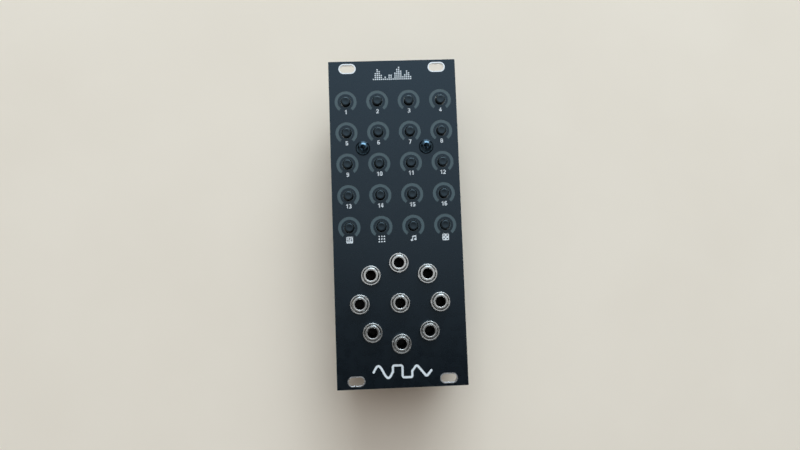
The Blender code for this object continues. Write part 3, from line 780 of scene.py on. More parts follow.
def wave_line():
    """One rounded stroke that runs from a sine through a square to a triangle wave."""
    height, period, steps = 2.3, 7.4, 24
    path = []
    for i in range(steps):
        x = period * (i / steps - 1.5)
        path.append((x, height * math.sin(2 * math.pi * i / steps)))
    start, quarter = period / 2, period / 4
    corners = [
        (-start, 0.0, 0.0), (-start, height, 0.6), (0.0, height, 0.6), (0.0, -height, 0.6),
        (start, -height, 0.6), (start, 0.0, 0.5), (start + quarter, height, 0.6),
        (start + 3 * quarter, -height, 0.6), (start + period, 0.0, 0.0),
    ]
    path.extend(filleted(corners, 6))
    return ribbon(path, 0.86, 8)


def add_layers(name, node, outlines, skins, low, high, mask, slot):
    """A board's laminate core, and a skin of lacquer on each of its faces."""
    core = plate(outlines, low + MASK_THICKNESS, high - MASK_THICKNESS)
    put(f"{name}_core", joined((core, LAMINATE)), slot, replaces=(node,))
    for face, base in (("front", high - MASK_THICKNESS), ("rear", low)):
        skin = plate(skins, base, base + MASK_THICKNESS)
        put(f"{name}_mask_{face}", joined((skin, mask)), slot)


def add_panel():
    """The panel's layers, open at the light windows, and its four plated slots."""
    low, high = panel_low.z, panel_high.z
    skins = panel_outlines(MASK_SETBACK) + [window_outline(place) for place in button_places]
    add_layers("panel", "front_panel", panel_outlines(), skins, low, high, PANEL_MASK, "panel_black")

    inner = SLOT_WIDTH / 2
    wall = inner + PLATING_THICKNESS
    rim = inner + PLATING_RIM - 0.02
    profile = [
        (inner, low + 0.03), (inner + 0.03, low), (rim, low), (rim, low + MASK_THICKNESS),
        (wall, low + MASK_THICKNESS), (wall, high - MASK_THICKNESS), (rim, high - MASK_THICKNESS),
        (rim, high), (inner + 0.03, high), (inner, high - 0.03),
    ]
    for number, place in enumerate(slot_places(), start=1):
        straight = SLOT_LENGTH - SLOT_WIDTH
        rings = [raised(stadium(radius, straight, place), z) for radius, z in profile]
        plating = made(add_loft, rings, closed=True)
        put(f"slot_plating_{number}", joined((plating, TINNED)), "zinc_steel")


def add_print():
    """Numbers, icons and two plain ornaments in white ink on the panel's face."""
    top = panel_high.z + PRINT_THICKNESS / 2
    shapes = figure_shapes()
    numbers = []
    for number, (x, y) in enumerate(button_places[:16], start=1):
        numbers += number_parts(str(number), NUMBER_HEIGHT, (x, y - NUMBER_DROP, top), shapes)
    icon_places = [(x, y - ICON_DROP, top) for x, y in button_places[16:]]
    for name, parts in (
        ("numbers", numbers),
        ("icons", list(zip(icon_shapes(), icon_places))),
        ("level_display", [(print_plate(level_display()), (0.0, LEVEL_DISPLAY_BASE, top))]),
        ("wave_line", [(print_plate([wave_line()]), (0.0, WAVE_LINE_MIDDLE, top))]),
    ):
        put(f"printed_{name}", joined((gathered(parts), PRINT)), "panel_black")


def plunger_mesh():
    """A switch plunger: flange, stem and a softly dished top with a rounded edge."""
    width, _, top = extent("button_1")
    flange, rim, radius = width / 2, 0.8, PLUNGER_RADIUS
    corners = [
        (0.4, 0.0, 0.0), (flange, 0.0, 0.1), (flange, rim, 0.1), (radius, rim, 0.1),
        (radius, top, 0.42), (0.4, top, 0.0),
    ]
    profile = filleted(corners, 7)[:-1]
    profile += [(1.1, top - 0.02), (0.85, top - 0.055), (0.5, top - 0.09), (0.2, top - 0.1)]
    return joined((made(add_turned, profile, 48), PLUNGER_PLASTIC_PAINTED_SHEEN))


def add_plungers():
    mesh = plunger_mesh()
    for index, node in enumerate(button_nodes):
        low, _ = box(node)
        body = node.replace("button", "plunger")
        place = (*button_places[index], low.z)
        put(f"switch_cap_{index + 1}", mesh, "button_black", body, place, replaces=(node,))


def upright(centre=(0.0, 0.0, 0.0), turn=0.0):
    """Matrix that stands a drawn outline up: its y becomes height, and its thickness runs along Y."""
    swap = Matrix(((1, 0, 0, 0), (0, 0, 1, 0), (0, 1, 0, 0), (0, 0, 0, 1)))
    return Matrix.Translation(centre) @ Matrix.Rotation(math.radians(turn), 4, "Z") @ swap


def add_strip(bm, corners, thickness, width, place):
    """Adds a bent strip whose line is drawn in x and height, each corner with its radius."""
    outline = ribbon(filleted(corners, 3), thickness)
    add_prism(bm, outline, -width / 2, width / 2, place)


def switch_mesh():
    """A tactile switch from the board up: moulded base, riveted steel cover and four bent legs."""
    cover_low = SWITCH_HEIGHT - 0.4
    size = (SWITCH_SIDE, SWITCH_SIDE, cover_low - 0.1)
    base = made(add_moulded, size, base=0.1, corner=0.4, edge=0.08)
    base = combined(base, made(add_turned, [(2.42, 1.45), (2.42, SWITCH_HEIGHT)], 32))
    side = SWITCH_SIDE - 0.3
    cover = plate(
        [rectangle(side, side, 0.9), circle(PLUNGER_RADIUS + 0.2, 40)], cover_low, cover_low + 0.25
    )
    legs = bmesh.new()
    half = SWITCH_SIDE / 2
    for x in (-1, 1):
        for y in (-1, 1):
            centre = (x * (half - 0.75), y * (half - 0.75))
            dome = [(0.48, cover_low - 0.05), (0.46, cover_low + 0.3), (0.3, SWITCH_HEIGHT)]
            add_turned(base, dome, 16, centre)
            corners = [
                (half - 0.3, 0.8, 0), (half + 0.35, 0.8, 0.15), (half + 0.5, 0.12, 0.15),
                (half + 1.2, 0.12, 0),
            ]
            add_strip(legs, corners, 0.2, 0.7, upright((0, y * 2.25, 0), 0 if x > 0 else 180))
    return joined((base, SWITCH_PLASTIC), (cover, STEEL), (legs, TINNED))


def lamp_mesh():
    """A surface-mounted lamp from the board up: white cup, clear resin and wrapped end contacts."""
    width, length, height = LAMP_SIZE
    size = (width - 0.2, length, height - 0.05)
    cup = made(add_moulded, size, base=0.05, corner=0.15, edge=0.06, draft=0.03)
    cup = combined(cup, made(add_turned, [(0.85, height - 0.7), (1.2, height + 0.1)], 32))
    profile = [(0.8, height - 0.75), (1.16, height - 0.06), (0.6, height - 0.09)]
    resin = made(add_turned, profile, 32)
    contacts = bmesh.new()
    for turn in (0, 180):
        corners = [
            (width / 2 - 0.6, 0.05, 0), (width / 2 - 0.05, 0.05, 0.1), (width / 2 - 0.05, 0.9, 0),
        ]
        add_strip(contacts, corners, 0.1, 2.2, upright(turn=turn))
    return joined((cup, LAMP_PLASTIC), (resin, LENS), (contacts, TINNED))


def add_switches_and_lamps():
    switch, lamp = switch_mesh(), lamp_mesh()
    for number, (x, y) in enumerate(button_places, start=1):
        place = (x, y, board_front)
        put(f"switch_housing_{number}", switch, "chip_plastic", place=place)
        place = (x, y + LAMP_OFFSET, board_front)
        put(f"lamp_{number}", lamp, "chip_plastic", place=place)


def jack_housing_mesh():
    """A jack's black body with its socket, side recesses, spring chamber, springs and pins."""
    width, length, _ = extent("jack_housing_1")
    centre_y = middle("jack_housing_1").y - jack_places[0][1]
    height = panel_low.z - board_front
    body = made(
        add_moulded, (width, length, height), base=0.0, corner=0.5, edge=0.35,
        centre=(0, centre_y), draft=0.004,
    )
    sideways = upright(turn=90)
    for face in (-width / 2, width / 2):
        outline = rectangle(5.6, 6.4, 0.5, (centre_y, 5.0))
        body = combined(body, made(add_prism, outline, face - 0.45, face + 0.45, sideways))
    for y, breadth, depth, rise in ((-1, 1.8, 0.6, 6.2), (1, 3.2, 0.5, 7.4)):
        outline = rectangle(breadth, rise, 0.25, (0, rise / 2 + 0.8))
        face = centre_y + y * length / 2
        body = combined(body, made(add_prism, outline, face - depth, face + depth, upright()))
    bore, seat, step = JACK_BORE_RADIUS, BUSHING_RADIUS - 0.4, height - 2
    profile = [(bore, 0.6), (bore, step), (seat, step), (seat, height + 1)]
    body = combined(body, made(add_turned, profile, 32))
    springs, pins = bmesh.new(), bmesh.new()
    tip = JACK_PIN_OFFSETS[2]
    corners = [
        (tip + 0.5, 0.3, 0), (tip + 0.5, 6.4, 0.3), (tip + 1.9, 6.9, 0.3), (tip + 2.35, 4.4, 0.4),
        (tip + 1.6, 2.8, 0),
    ]
    add_strip(springs, corners, 0.25, 1.4, sideways)
    width, thickness = JACK_PIN_SIZE
    end = box("jack_housing_1")[0].z - board_front
    for offset in JACK_PIN_OFFSETS:
        rings = []
        for share, z in ((0.45, end), (1.0, end + 0.5), (1.0, 0.4)):
            outline = rectangle(width * share, thickness * share, 0.04, (0, offset), 1)
            rings.append(raised(outline, z))
        add_loft(pins, rings)
    return joined((body, JACK_PLASTIC), (springs, BRONZE), (pins, TINNED))


def thread(outer, low, high, pitch, depth):
    """A wave that cuts a screw thread into the wall of this radius between two heights."""

    def wave(radius, height, angle):
        if abs(radius - outer) > 1e-6 or not low < height < high:
            return radius
        fade = min((height - low) / pitch, (high - height) / pitch, 1.0)
        phase = (height / pitch - angle / (2 * math.pi)) % 1.0
        return radius - depth * fade * abs(2 * phase - 1)

    return wave


def column(radius, low, high, step):
    """Points up a straight wall, close enough together for a thread."""
    count = round((high - low) / step)
    return [(radius, low + (high - low) * i / count) for i in range(count + 1)]


def bushing_mesh():
    """A threaded bushing from its shoulder: spigot below, rounded mouth above, black liner inside."""
    low, high = box("jack_bushing_1")
    shoulder = panel_low.z
    bore, outer = BUSHING_BORE_RADIUS, BUSHING_RADIUS
    bottom, top = low.z - shoulder, high.z - shoulder
    spigot = outer - 0.5
    wall = bore + 0.2
    profile = [(wall, bottom), (spigot, bottom), (spigot, 0.0)]
    profile += column(outer, 0.0, top - 0.4, THREAD_PITCH / 8)
    mouth = [
        (outer - 0.28, top, 0.05), (bore + 0.22, top, 0.08), (bore, top - 0.9, 0.1),
        (wall, top - 1.05, 0.0), (wall, bottom, 0.0), (outer, top - 0.4, 0.0),
    ]
    profile += filleted(mouth, 4)[:-2]
    wave = thread(outer, 0.2, top - 0.4, THREAD_PITCH, THREAD_DEPTH)
    bushing = made(add_turned, profile, 64, closed=True, wave=wave)
    wall -= 0.01
    profile = [(bore, bottom), (wall, bottom), (wall, top - 1.1), (bore, top - 1.0)]
    liner = made(add_turned, profile, 48, closed=True)
    return joined((bushing, NICKEL), (liner, JACK_PLASTIC), smooth=40)


def nut_mesh():
    """A round nut seated on the panel: knurled rim, two key slots and a countersunk thread."""
    height = box("jack_nut_1")[1].z - panel_high.z
    inner, outer = NUT_BORE_RADIUS - 0.12, NUT_RADIUS
    corners = [
        (inner, 0.0, 0.0), (outer, 0.0, 0.12), (outer, height - 0.15, 0.0),
        (outer - 0.12, height, 0.06), (inner + 0.2, height, 0.04), (inner, height - 0.6, 0.0),
    ]
    profile = filleted(corners, 3)

    def knurl(radius, z, angle):
        return radius - KNURL_DEPTH * (1 - math.cos(KNURLS * angle)) * (radius > outer - 0.05)

    nut = made(add_turned, profile, 4 * KNURLS, closed=True, wave=knurl)
    slots = made(add_prism, rectangle(2 * outer + 1, 1.0), height - NUT_SLOT_DEPTH, height + 1)
    return joined((combined(nut, slots), NICKEL), smooth=30)


def add_jacks():
    housing, bushing, nut = jack_housing_mesh(), bushing_mesh(), nut_mesh()
    for number, ((x, y), turn) in enumerate(zip(jack_places, NUT_ANGLES), start=1):
        for piece, node, mesh, slot, z, angle in (
            ("body", "housing", housing, "jack_plastic", board_front, 0),
            ("thread", "bushing", bushing, "nickel", panel_low.z, 0),
            ("ring_nut", "nut", nut, "nickel", panel_high.z, turn),
        ):
            put(
                f"jack_{piece}_{number}", mesh, slot, place=(x, y, z), turn=angle,
                replaces=(f"jack_{node}_{number}",),
            )


def screw_body(head_radius, crown, length):
    """A bmesh of a screw from its tip up: threaded shank, then its head, whose top is the crown."""
    profile = [(SCREW_RADIUS - 0.35, -length)]
    profile += column(SCREW_RADIUS, -length + 0.3, -0.02, SCREW_PITCH / 8)
    profile += [(SCREW_RADIUS, 0.0), (head_radius - 0.12, 0.0), (head_radius, 0.12)]
    wave = thread(SCREW_RADIUS, -length, -0.1, SCREW_PITCH, SCREW_THREAD_DEPTH)
    return made(add_turned, profile + crown, 64, wave=wave)


def hexagon(across_flats):
    return circle(across_flats / 2 / math.cos(math.pi / 6), 6)


def panel_screw_mesh():
    """A black button-head screw with a hexagon socket, from the panel's face.

    Its head is part of a ball that runs from the rim up to the land round the socket.
    """
    low, high = box("panel_screw_left")
    height = high.z - panel_high.z - 0.2
    radius = extent("panel_screw_left").x / 2
    length = panel_high.z - low.z
    rim, land = 0.35, 1.2
    depth = (radius**2 - land**2 + rim**2 - height**2) / 2 / (height - rim)
    ball = math.hypot(land, height + depth)
    first = math.degrees(math.atan2(rim + depth, radius))
    last = math.degrees(math.atan2(height + depth, land))
    crown = arc(ball, first, last, 14, (0.0, -depth))
    levels = ((0.1, height - 1.9), (2.0, height - 1.35), (2.0, height - 0.08), (2.3, height + 0.05))
    key = made(add_loft, [raised(hexagon(flats), z) for flats, z in levels])
    return joined((combined(screw_body(radius, crown, length), key), OXIDE_PAINTED_BLUE_SHEEN))


def cross(length, width):
    """Points of an upright cross, anticlockwise."""
    a, b = length / 2, width / 2
    quarter = [(a, -b), (a, b), (b, b)]
    points = []
    for turn in range(4):
        for x, y in quarter:
            for _ in range(turn):
                x, y = -y, x
            points.append((x, y))
    return points


def board_screw_mesh():
    """A zinc-plated pan-head screw with a cross recess, its head up."""
    low, high = box("board_screw_left")
    height, length = board_low.z - low.z, high.z - board_low.z
    radius = extent("board_screw_left").x / 2
    crown = filleted([(radius, 0.12, 0.0), (radius, height, 1.1), (1.5, height, 0.0)], 8)[1:]
    levels = ((0.9, 0.3, height - 1.3), (1.7, 0.5, height - 1.0), (2.9, 0.75, height + 0.05))
    recess = made(add_loft, [raised(cross(arm, width), z) for arm, width, z in levels])
    return joined((combined(screw_body(radius, crown, length), recess), ZINC))


def standoff_mesh():
    """A hexagonal standoff with turned chamfers and an open thread, from the board's face."""
    height = panel_low.z - board_front
    flats = extent("standoff_left").y
    corner = flats / 2 / math.cos(math.pi / 6)
    end, wide = flats / 2 - 0.1, corner + 0.01
    rise = (corner - end) * 0.6
    profile = [(end, -0.01), (wide, rise), (wide, height - rise), (end, height + 0.01)]
    post = made(add_prism, hexagon(flats), 0.0, height)
    post = combined(post, made(add_turned, profile, 64), "INTERSECT")
    hole = SCREW_RADIUS + 0.06
    bore = made(add_turned, [(hole, -1.0), (hole, height + 1.0)], 32)
    return joined((combined(post, bore), BRASS))


def add_fasteners():
    panel_screw, board_screw = panel_screw_mesh(), board_screw_mesh()
    standoff = standoff_mesh()
    for (side, (x, y)), (front_turn, rear_turn) in zip(screw_places.items(), SCREW_TURNS):
        put(
            f"button_head_screw_{side}", panel_screw, "black_steel",
            place=(x, y, panel_high.z), turn=front_turn, replaces=(f"panel_screw_{side}",),
        )
        put(
            f"hex_standoff_{side}", standoff, "brass", place=(x, y, board_front),
            replaces=(f"standoff_{side}",),
        )
        put_behind(
            f"pan_head_screw_{side}", board_screw, "zinc_steel", (x, y), rear_turn,
            (f"board_screw_{side}",),
        )


def pin_places():
    """Places of the jacks' pins on the control board."""
    return [(x, y + offset) for x, y in jack_places for offset in JACK_PIN_OFFSETS]


def header_pins():
    """Places of the power header's ten pins."""
    x, y = header_place
    offsets = [(dx, dy) for dx in row(2, HEADER_PIN_PITCH) for dy in row(5, HEADER_PIN_PITCH)]
    return [(x + dx, y + dy) for dx, dy in offsets]


def board_outlines(setback=0.0):
    """The control board's edge and its holes; a setback bares a pad round each pin."""
    width, length, _ = extent("control_board")
    centre = (0.0, middle("control_board").y)
    outlines = [rectangle(width - setback, length - setback, 0.8, centre)]
    outlines += [stadium(0.45 + setback * 4, 0.5, place, 10) for place in pin_places()]
    outlines += [circle(0.46 + setback * 3, 20, place) for place in header_pins()]
    outlines += [circle(SCREW_HOLE_RADIUS, 32, place) for place in screw_places.values()]
    return outlines


def mirrored(path, side):
    return [(side * x, y) for x, y in path]


def trace_paths():
    """Thin and wide copper runs on the rear, each a width and its points."""
    chip_y = middle("microcontroller").y
    tip = 5.9
    thin, medium = [], []
    for side, count in ((-1, 8), (1, 5)):
        for i, lead in enumerate(row(8, CHIP_PITCH)[::-1][:count]):
            start, end = chip_y + FINE_PITCH * (7.5 - i), SMALL_CHIPS[0][3][0][1] + lead
            bend = tip + 0.8 + 0.22 * (i if end > start else 7 - i)
            path = [(tip, start), (bend, start), (bend + abs(end - start), end), (12.6, end)]
            thin.append(mirrored(path, side))
    for i, end in enumerate(row(6, BANK_PITCH)):
        start = FINE_PITCH * (i - 2.5)
        bend = chip_y + 6.15 + 0.2 * min(i, 5 - i)
        path = [(start, chip_y + tip), (start, bend), (end, bend + abs(end - start)), (end, 19.2)]
        thin += [path, [(end, 20.5), (end, 22.1)], [(end, 23.5), (end, 25.4)]]
    for side in (-1, 1):
        for i in range(4):
            start, lane, end = 2.25 + FINE_PITCH * i, 3.7 + 0.45 * i, -3.895 - CHIP_PITCH * i
            path = [(start, chip_y - tip), (start, 1.2), (lane, 1.2 - lane + start), (lane, end + 0.3)]
            thin.append(mirrored(path + [(lane - 0.3, end), (3.0, end)], side))
        for base, count in FAN_ROWS:
            for i, lead in enumerate(row(count, CHIP_PITCH)):
                y, stagger = base + lead, i % 2 * FAN_STAGGER
                thin.append(mirrored([(18.4, y), (FAN_OUTER_END + stagger, y)], side))
                if count == 7 and i > 1:
                    thin.append(mirrored([(12.6, y), (FAN_INNER_END - stagger, y)], side))
    thin += [
        [(-7.66, -19.6), (-7.66, -13.15), (-12.5, -8.31)],
        [(3.3, -15.1), (3.3, -13.5), (9.76, -7.04), (12.5, -7.04)],
        [(14.26, -19.6), (14.26, -10.07), (12.5, -8.31)],
        [(tip, 8.52), (8.6, 8.52)], [(tip, 6.52), (8.6, 6.52)],
    ]
    for x, y in jack_places:
        left, right, pin_y = x - JACK_PART_SIDE, x + JACK_PART_SIDE, y + JACK_PIN_OFFSETS[1]
        medium += [
            [(x + 0.5, y - 3.7), (right, y - 0.9), (right, y - 0.1)],
            [(x - 0.7, pin_y), (x - 2.0, pin_y), (left, y + 2.08), (left, y + 1.2)],
            [(left, y - 0.1), (left, y - 1.9)],
        ]
        if y < LOWER_JACKS:
            medium.append([(right, y + 1.2), (right, y + 3.0)])
    wide = [
        [(4.0, 43.08), (6.2, 43.08), (8.1, 44.98), (8.5, 45.0)],
        [(4.0, 40.54), (6.9, 40.54), (8.1, 41.74), (8.5, 41.8)],
        [(10.8, 45.0), (13.7, 45.0), (17.4, 41.3), (17.4, 19.1), (16.4, 18.0)],
        [(10.8, 41.8), (12.0, 41.8), (15.7, 38.1), (15.7, 34.5)],
        [(-4.0, 40.54), (-7.1, 40.54), (-8.5, 41.94), (-10.9, 42.0)],
        [(-17.4, 40.6), (-17.4, 19.1), (-16.4, 18.0)],
    ]
    area = [[(-20.2, 42.0), (-17.2, 42.0)]]
    groups = zip(RUN_WIDTHS, (thin, medium, wide, area))
    return [(width, path) for width, paths in groups for path in paths]


def pad_outlines():
    """Bare tinned copper under the leads and ends of the rear's parts, and round the screws."""
    pads = []

    def add(place, turn, start, reach, offsets, width):
        turned = Matrix.Rotation(math.radians(turn), 2)
        for offset in offsets:
            x, y = turned @ Vector((start + reach * 0.72, offset)) + Vector(place)
            size = (reach * 0.85, width * 1.35)
            pads.append(rectangle(*(size if turn % 180 == 0 else size[::-1]), 0.06, (x, y), 1))

    for turn in (0, 90, 180, 270):
        leads = row(16, FINE_PITCH)
        add(middle("microcontroller").xy, turn, 5.0, CONTROLLER_REACH, leads, FINE_LEAD)
    for _, count, _, places in SMALL_CHIPS:
        for place in places:
            for turn in (0, 180):
                add(place, turn, CHIP_WIDTH / 2, CHIP_REACH, row(count, CHIP_PITCH), CHIP_LEAD)
    for side in REGULATOR_SIDES:
        add(middle("voltage_regulator").xy, side[0], 1.75, REGULATOR_REACH, *side[1:])
    for side in ("left", "right"):
        for turn in (0, 180):
            add(middle(f"capacitor_{side}").xy, turn, 2.2, 1.7, [0.0], 0.9)
        for radius in (3.15, SCREW_HOLE_RADIUS + 0.02):
            pads.append(circle(radius, 48, screw_places[side]))
    for places, spread, size in (
        (RESISTORS + CAPACITORS, 0.72, (0.75, 1.0)), (DIODES, 1.45, (1.1, 1.7))
    ):
        for x, y, along_y in places:
            for offset in (-spread, spread):
                dx, dy = swapped(along_y, offset, 0.0)
                pads.append(rectangle(*swapped(along_y, *size), 0.08, (x + dx, y + dy), 1))
    for x in (-1.1, 1.1):
        for y in (-1.45, 1.45):
            pads.append(rectangle(1.0, 1.0, 0.08, (CRYSTAL_PLACE[0] + x, CRYSTAL_PLACE[1] + y), 1))
    return pads


def via_places():
    """Ends of the thin runs that go on through the board."""
    places = [(x, 25.7) for x in row(6, BANK_PITCH)]
    for side in (-1, 1):
        for base, count in FAN_ROWS:
            for i, lead in enumerate(row(count, CHIP_PITCH)):
                reach = VIA_REACH + i % 2 * FAN_STAGGER
                places.append((side * (FAN_OUTER_END + reach), base + lead))
                if count == 7 and i > 1:
                    places.append((side * (FAN_INNER_END - reach), base + lead))
    for x, y in jack_places:
        places.append((x - JACK_PART_SIDE, y - 2.2))
        if y < LOWER_JACKS:
            places.append((x + JACK_PART_SIDE, y + 3.3))
    places += [(15.7 + dx, 33.4 + dy) for dx in (-0.5, 0.5) for dy in (0.0, 1.0)]
    places += [(-20.2 + dx, 44.9) for dx in (0.0, 0.9, 1.8, 2.7)]
    return places


def rear_print_outlines():
    """White frames, end bars and first-lead dots round the rear's parts."""
    line = 0.15
    outlines = []

    def frame_round(place, width, length):
        outlines.append(rectangle(width, length, 0.1, place, 1))
        outlines.append(rectangle(width - 2 * line, length - 2 * line, 0.05, place, 1))

    def bar(x, y, width, length):
        outlines.append(rectangle(width, length, 0.04, (x, y), 1))

    chip_x, chip_y = middle("microcontroller").xy
    frame_round((chip_x, chip_y), 13.3, 13.3)
    outlines.append(circle(0.35, 20, (chip_x - 7.3, chip_y + 5.6)))
    for _, _, length, places in SMALL_CHIPS:
        for x, y in places:
            for side in (-1, 1):
                bar(x, y + side * (length / 2 + 0.35), CHIP_WIDTH, line)
            outlines.append(circle(0.3, 20, (x - 2.5, y - length / 2 - 0.35)))
    frame_round(header_place, 10.0, 21.2)
    bar(header_place[0], header_place[1] - 11.3, 10.0, 0.8)
    frame_round(PROGRAMMING_PLACE, 3.2, 13.6)
    frame_round(CRYSTAL_PLACE, 4.3, 5.0)
    for side in ("left", "right"):
        x, y = middle(f"capacitor_{side}").xy
        frame_round((x, y), 7.4, 7.4)
        for size in ((1.0, 0.25), (0.25, 1.0)):
            bar(x + (4.6 if side == "left" else -4.6), y + 2.9, *size)
        for radius in (4.1, 4.1 - line):
            outlines.append(circle(radius, 48, screw_places[side]))
    for x, y, along_y in RESISTORS + CAPACITORS:
        for offset in (-0.75, 0.75):
            dx, dy = swapped(along_y, 0.0, offset)
            bar(x + dx, y + dy, *swapped(along_y, 1.3, 0.12))
    for x, y, _ in DIODES:
        bar(x + 2.4, y, 0.25, 1.9)
    return outlines


def add_rear_detail():
    """Copper runs under the lacquer, vias, bare pads and print on the rear face."""
    rear = board_low.z
    copper = bmesh.new()
    for width, path in trace_paths():
        add_prism(copper, ribbon(path, width, 4), rear - 0.015, rear + 0.02)
    rings = []
    for place in via_places():
        rings += [circle(0.32, 16, place), circle(0.13, 10, place)]
    vias = plate(rings, rear - 0.02, rear + 0.02)
    put("rear_copper_runs", joined((copper, TRACE_MASK), (vias, TINNED)), "board_black")
    pads = plate(pad_outlines(), rear - 0.03, rear + 0.02)
    put("rear_pads", joined((pads, TINNED)), "zinc_steel")
    print_mesh = joined((plate(rear_print_outlines(), rear - PRINT_THICKNESS, rear + 0.01), PRINT))
    put("rear_print", print_mesh, "board_black")


def add_joint(bm, place, base, height, radius, straight):
    """Adds a solder joint: a hollow-sided mound round a pin, up or down from its base."""
    steps = ((1.0, 0.0), (0.86, 0.08), (0.66, 0.3), (0.52, 0.62), (0.44, 0.9), (0.36, 1.0))
    rings = []
    for share, rise in steps:
        outline = stadium(radius * share, straight, place, 8)
        rings.append(raised(outline, base + height * rise))
    add_loft(bm, rings)


def add_board():
    """The control board's layers, and the solder joints of the jacks and the power header."""
    rear, front = board_low.z, board_front
    outlines, skins = board_outlines(), board_outlines(MASK_SETBACK)
    add_layers("board", "control_board", outlines, skins, rear, front, BOARD_MASK, "board_black")
    joints = bmesh.new()
    for place in pin_places():
        add_joint(joints, place, rear + 0.03, -1.15, 0.86, 0.5)
    for place in header_pins():
        add_joint(joints, place, front - 0.03, 1.0, 0.78, 0.01)
    put("solder_joints", joined((joints, SOLDER), smooth=60), "zinc_steel")


def header_shroud_mesh():
    """The power header's shroud, its mouth up, with a keying notch and a pin-one mark."""
    width, length, _ = extent("power_header")
    height = board_low.z - box("power_header")[0].z
    shroud = made(add_moulded, (width, length, height), base=0.0, corner=0.35, edge=0.2)
    floor = HEADER_FLOOR + SEAT_GAP
    inner_width, inner_length = width - 2 * HEADER_WALL, length - 2 * HEADER_WALL
    inner = rectangle(inner_width, inner_length, 0.2)
    flare = rectangle(inner_width + 0.5, inner_length + 0.5, 0.35)
    levels = ((inner, floor), (inner, height - 0.35), (flare, height + 0.05))
    shroud = combined(shroud, made(add_loft, [raised(outline, z) for outline, z in levels]))
    opening = rectangle(2.4, HEADER_NOTCH, 0.15, (width / 2, 0.0))
    shroud = combined(shroud, made(add_prism, opening, floor, height + 1))
    arrow = [(-0.7, height - 0.9), (0.7, height - 0.9), (0.0, height - 2.3)]
    side = Matrix.Rotation(math.radians(90), 4, "Z") @ upright((-length / 2 + 4.5, 0, 0))
    mark = made(add_prism, arrow, -width / 2 - 0.2, -width / 2 + 0.2, side)
    return joined((combined(shroud, mark), HEADER_PLASTIC))


def add_pin(bm, place, levels):
    """Adds a square pin, narrower towards its ends; each level is a share of its side and a height."""
    rings = []
    for share, z in levels:
        side = HEADER_PIN_SIDE * share
        rings.append(raised(rectangle(side, side, 0.05, place, 1), z))
    add_loft(bm, rings)


def header_pins_mesh():
    """The ten gold pins with pointed ends, their power ends up."""
    low, high = box("power_header")
    tip, tail = board_low.z - low.z - 1.0, board_low.z - high.z
    pins = bmesh.new()
    levels = ((0.4, tail), (1.0, tail + 0.4), (1.0, tip - 0.5), (0.45, tip))
    for x, y in header_pins():
        add_pin(pins, (x - header_place[0], y - header_place[1]), levels)
    return joined((pins, GOLD))


def capacitor_mesh():
    """A smoothing capacitor, its end up: chamfered base, crimped can and a printed half-moon."""
    side = extent("capacitor_left").x
    height = board_low.z - box("capacitor_left")[0].z
    radius = side / 2 - 0.15
    x = y = side / 2
    cut = 1.3
    outline = filleted([
        (x, -y, 0.3), (x, y, 0.3), (-x + cut, y, 0.2), (-x, y - cut, 0.2), (-x, -y + cut, 0.2),
        (-x + cut, -y, 0.2),
    ])
    base = made(add_loft, [raised(outline, z) for z in (0.08, 1.2, 1.3)])
    corners = [
        (radius - 0.4, 1.3, 0.0), (radius, 1.5, 0.15), (radius, 2.1, 0.15),
        (radius - 0.38, 2.45, 0.25), (radius, 2.8, 0.3), (radius, height, 0.45),
        (radius - 0.7, height, 0.1), (radius - 0.8, height - 0.06, 0.0),
    ]
    can = made(add_turned, filleted(corners, 5), 64)
    print_base = height - 0.055
    ink = plate([arc(radius - 0.85, 125, 235, 24)], print_base, print_base + 0.02)
    leads = bmesh.new()
    for turn in (0, 180):
        corners = [(x - 1.6, 0.06, 0), (x + 0.45, 0.06, 0)]
        add_strip(leads, corners, 0.12, 0.8, upright(turn=turn))
    return joined((base, HEADER_PLASTIC), (can, ALUMINIUM), (ink, INK_BLACK), (leads, TINNED))


def add_power_parts():
    shroud = header_shroud_mesh()
    put_behind("header_shroud", shroud, "header_plastic", header_place, 0, ("power_header",))
    put_behind("header_pins", header_pins_mesh(), "brass", header_place)
    can = capacitor_mesh()
    for side, turn in (("left", 180), ("right", 0)):
        node = f"capacitor_{side}"
        put_behind(f"smoothing_can_{side}", can, "can_aluminium", middle(node).xy, turn, (node,))


def chip_body(width, length, height):
    """A bmesh of a moulded chip body, widest at its middle, standing just off the board."""
    rings = []
    for inset, share in ((0.16, 0.0), (0.0, 0.45), (0.0, 0.5), (0.16, 0.97), (0.22, 1.0)):
        outline = rectangle(width - 2 * inset, length - 2 * inset, 0.12, steps=2)
        rings.append(raised(outline, CHIP_STAND + (height - CHIP_STAND) * share))
    return made(add_loft, rings)


def add_leads(bm, start, reach, height, offsets, lead_width, turn):
    """Adds gull-wing leads along one side of a chip."""
    middle_z = CHIP_STAND + (height - CHIP_STAND) * 0.475
    corners = [
        (start - 0.1, middle_z, 0), (start + reach * 0.3, middle_z, 0.1),
        (start + reach * 0.5, 0.075, 0.1), (start + reach, 0.075, 0),
    ]
    for offset in offsets:
        turned = Matrix.Rotation(math.radians(turn), 4, "Z") @ upright((0.0, offset, 0.0))
        add_strip(bm, corners, 0.15, lead_width, turned)


def chip_mesh(width, length, height, reach, sides, dot=True):
    """A chip from the board up. Each side is a turn, its lead offsets and the leads' width."""
    body, leads = chip_body(width, length, height), bmesh.new()
    if dot:
        centre = (-width / 2 + 0.85, length / 2 - 0.85)
        profile = [(0.3, height - 0.06), (0.36, height + 0.05)]
        body = combined(body, made(add_turned, profile, 20, centre))
    for turn, offsets, lead_width in sides:
        start = (width if turn in (0, 180) else length) / 2
        add_leads(leads, start, reach, height, offsets, lead_width, turn)
    return joined((body, CHIP_EPOXY), (leads, TINNED))


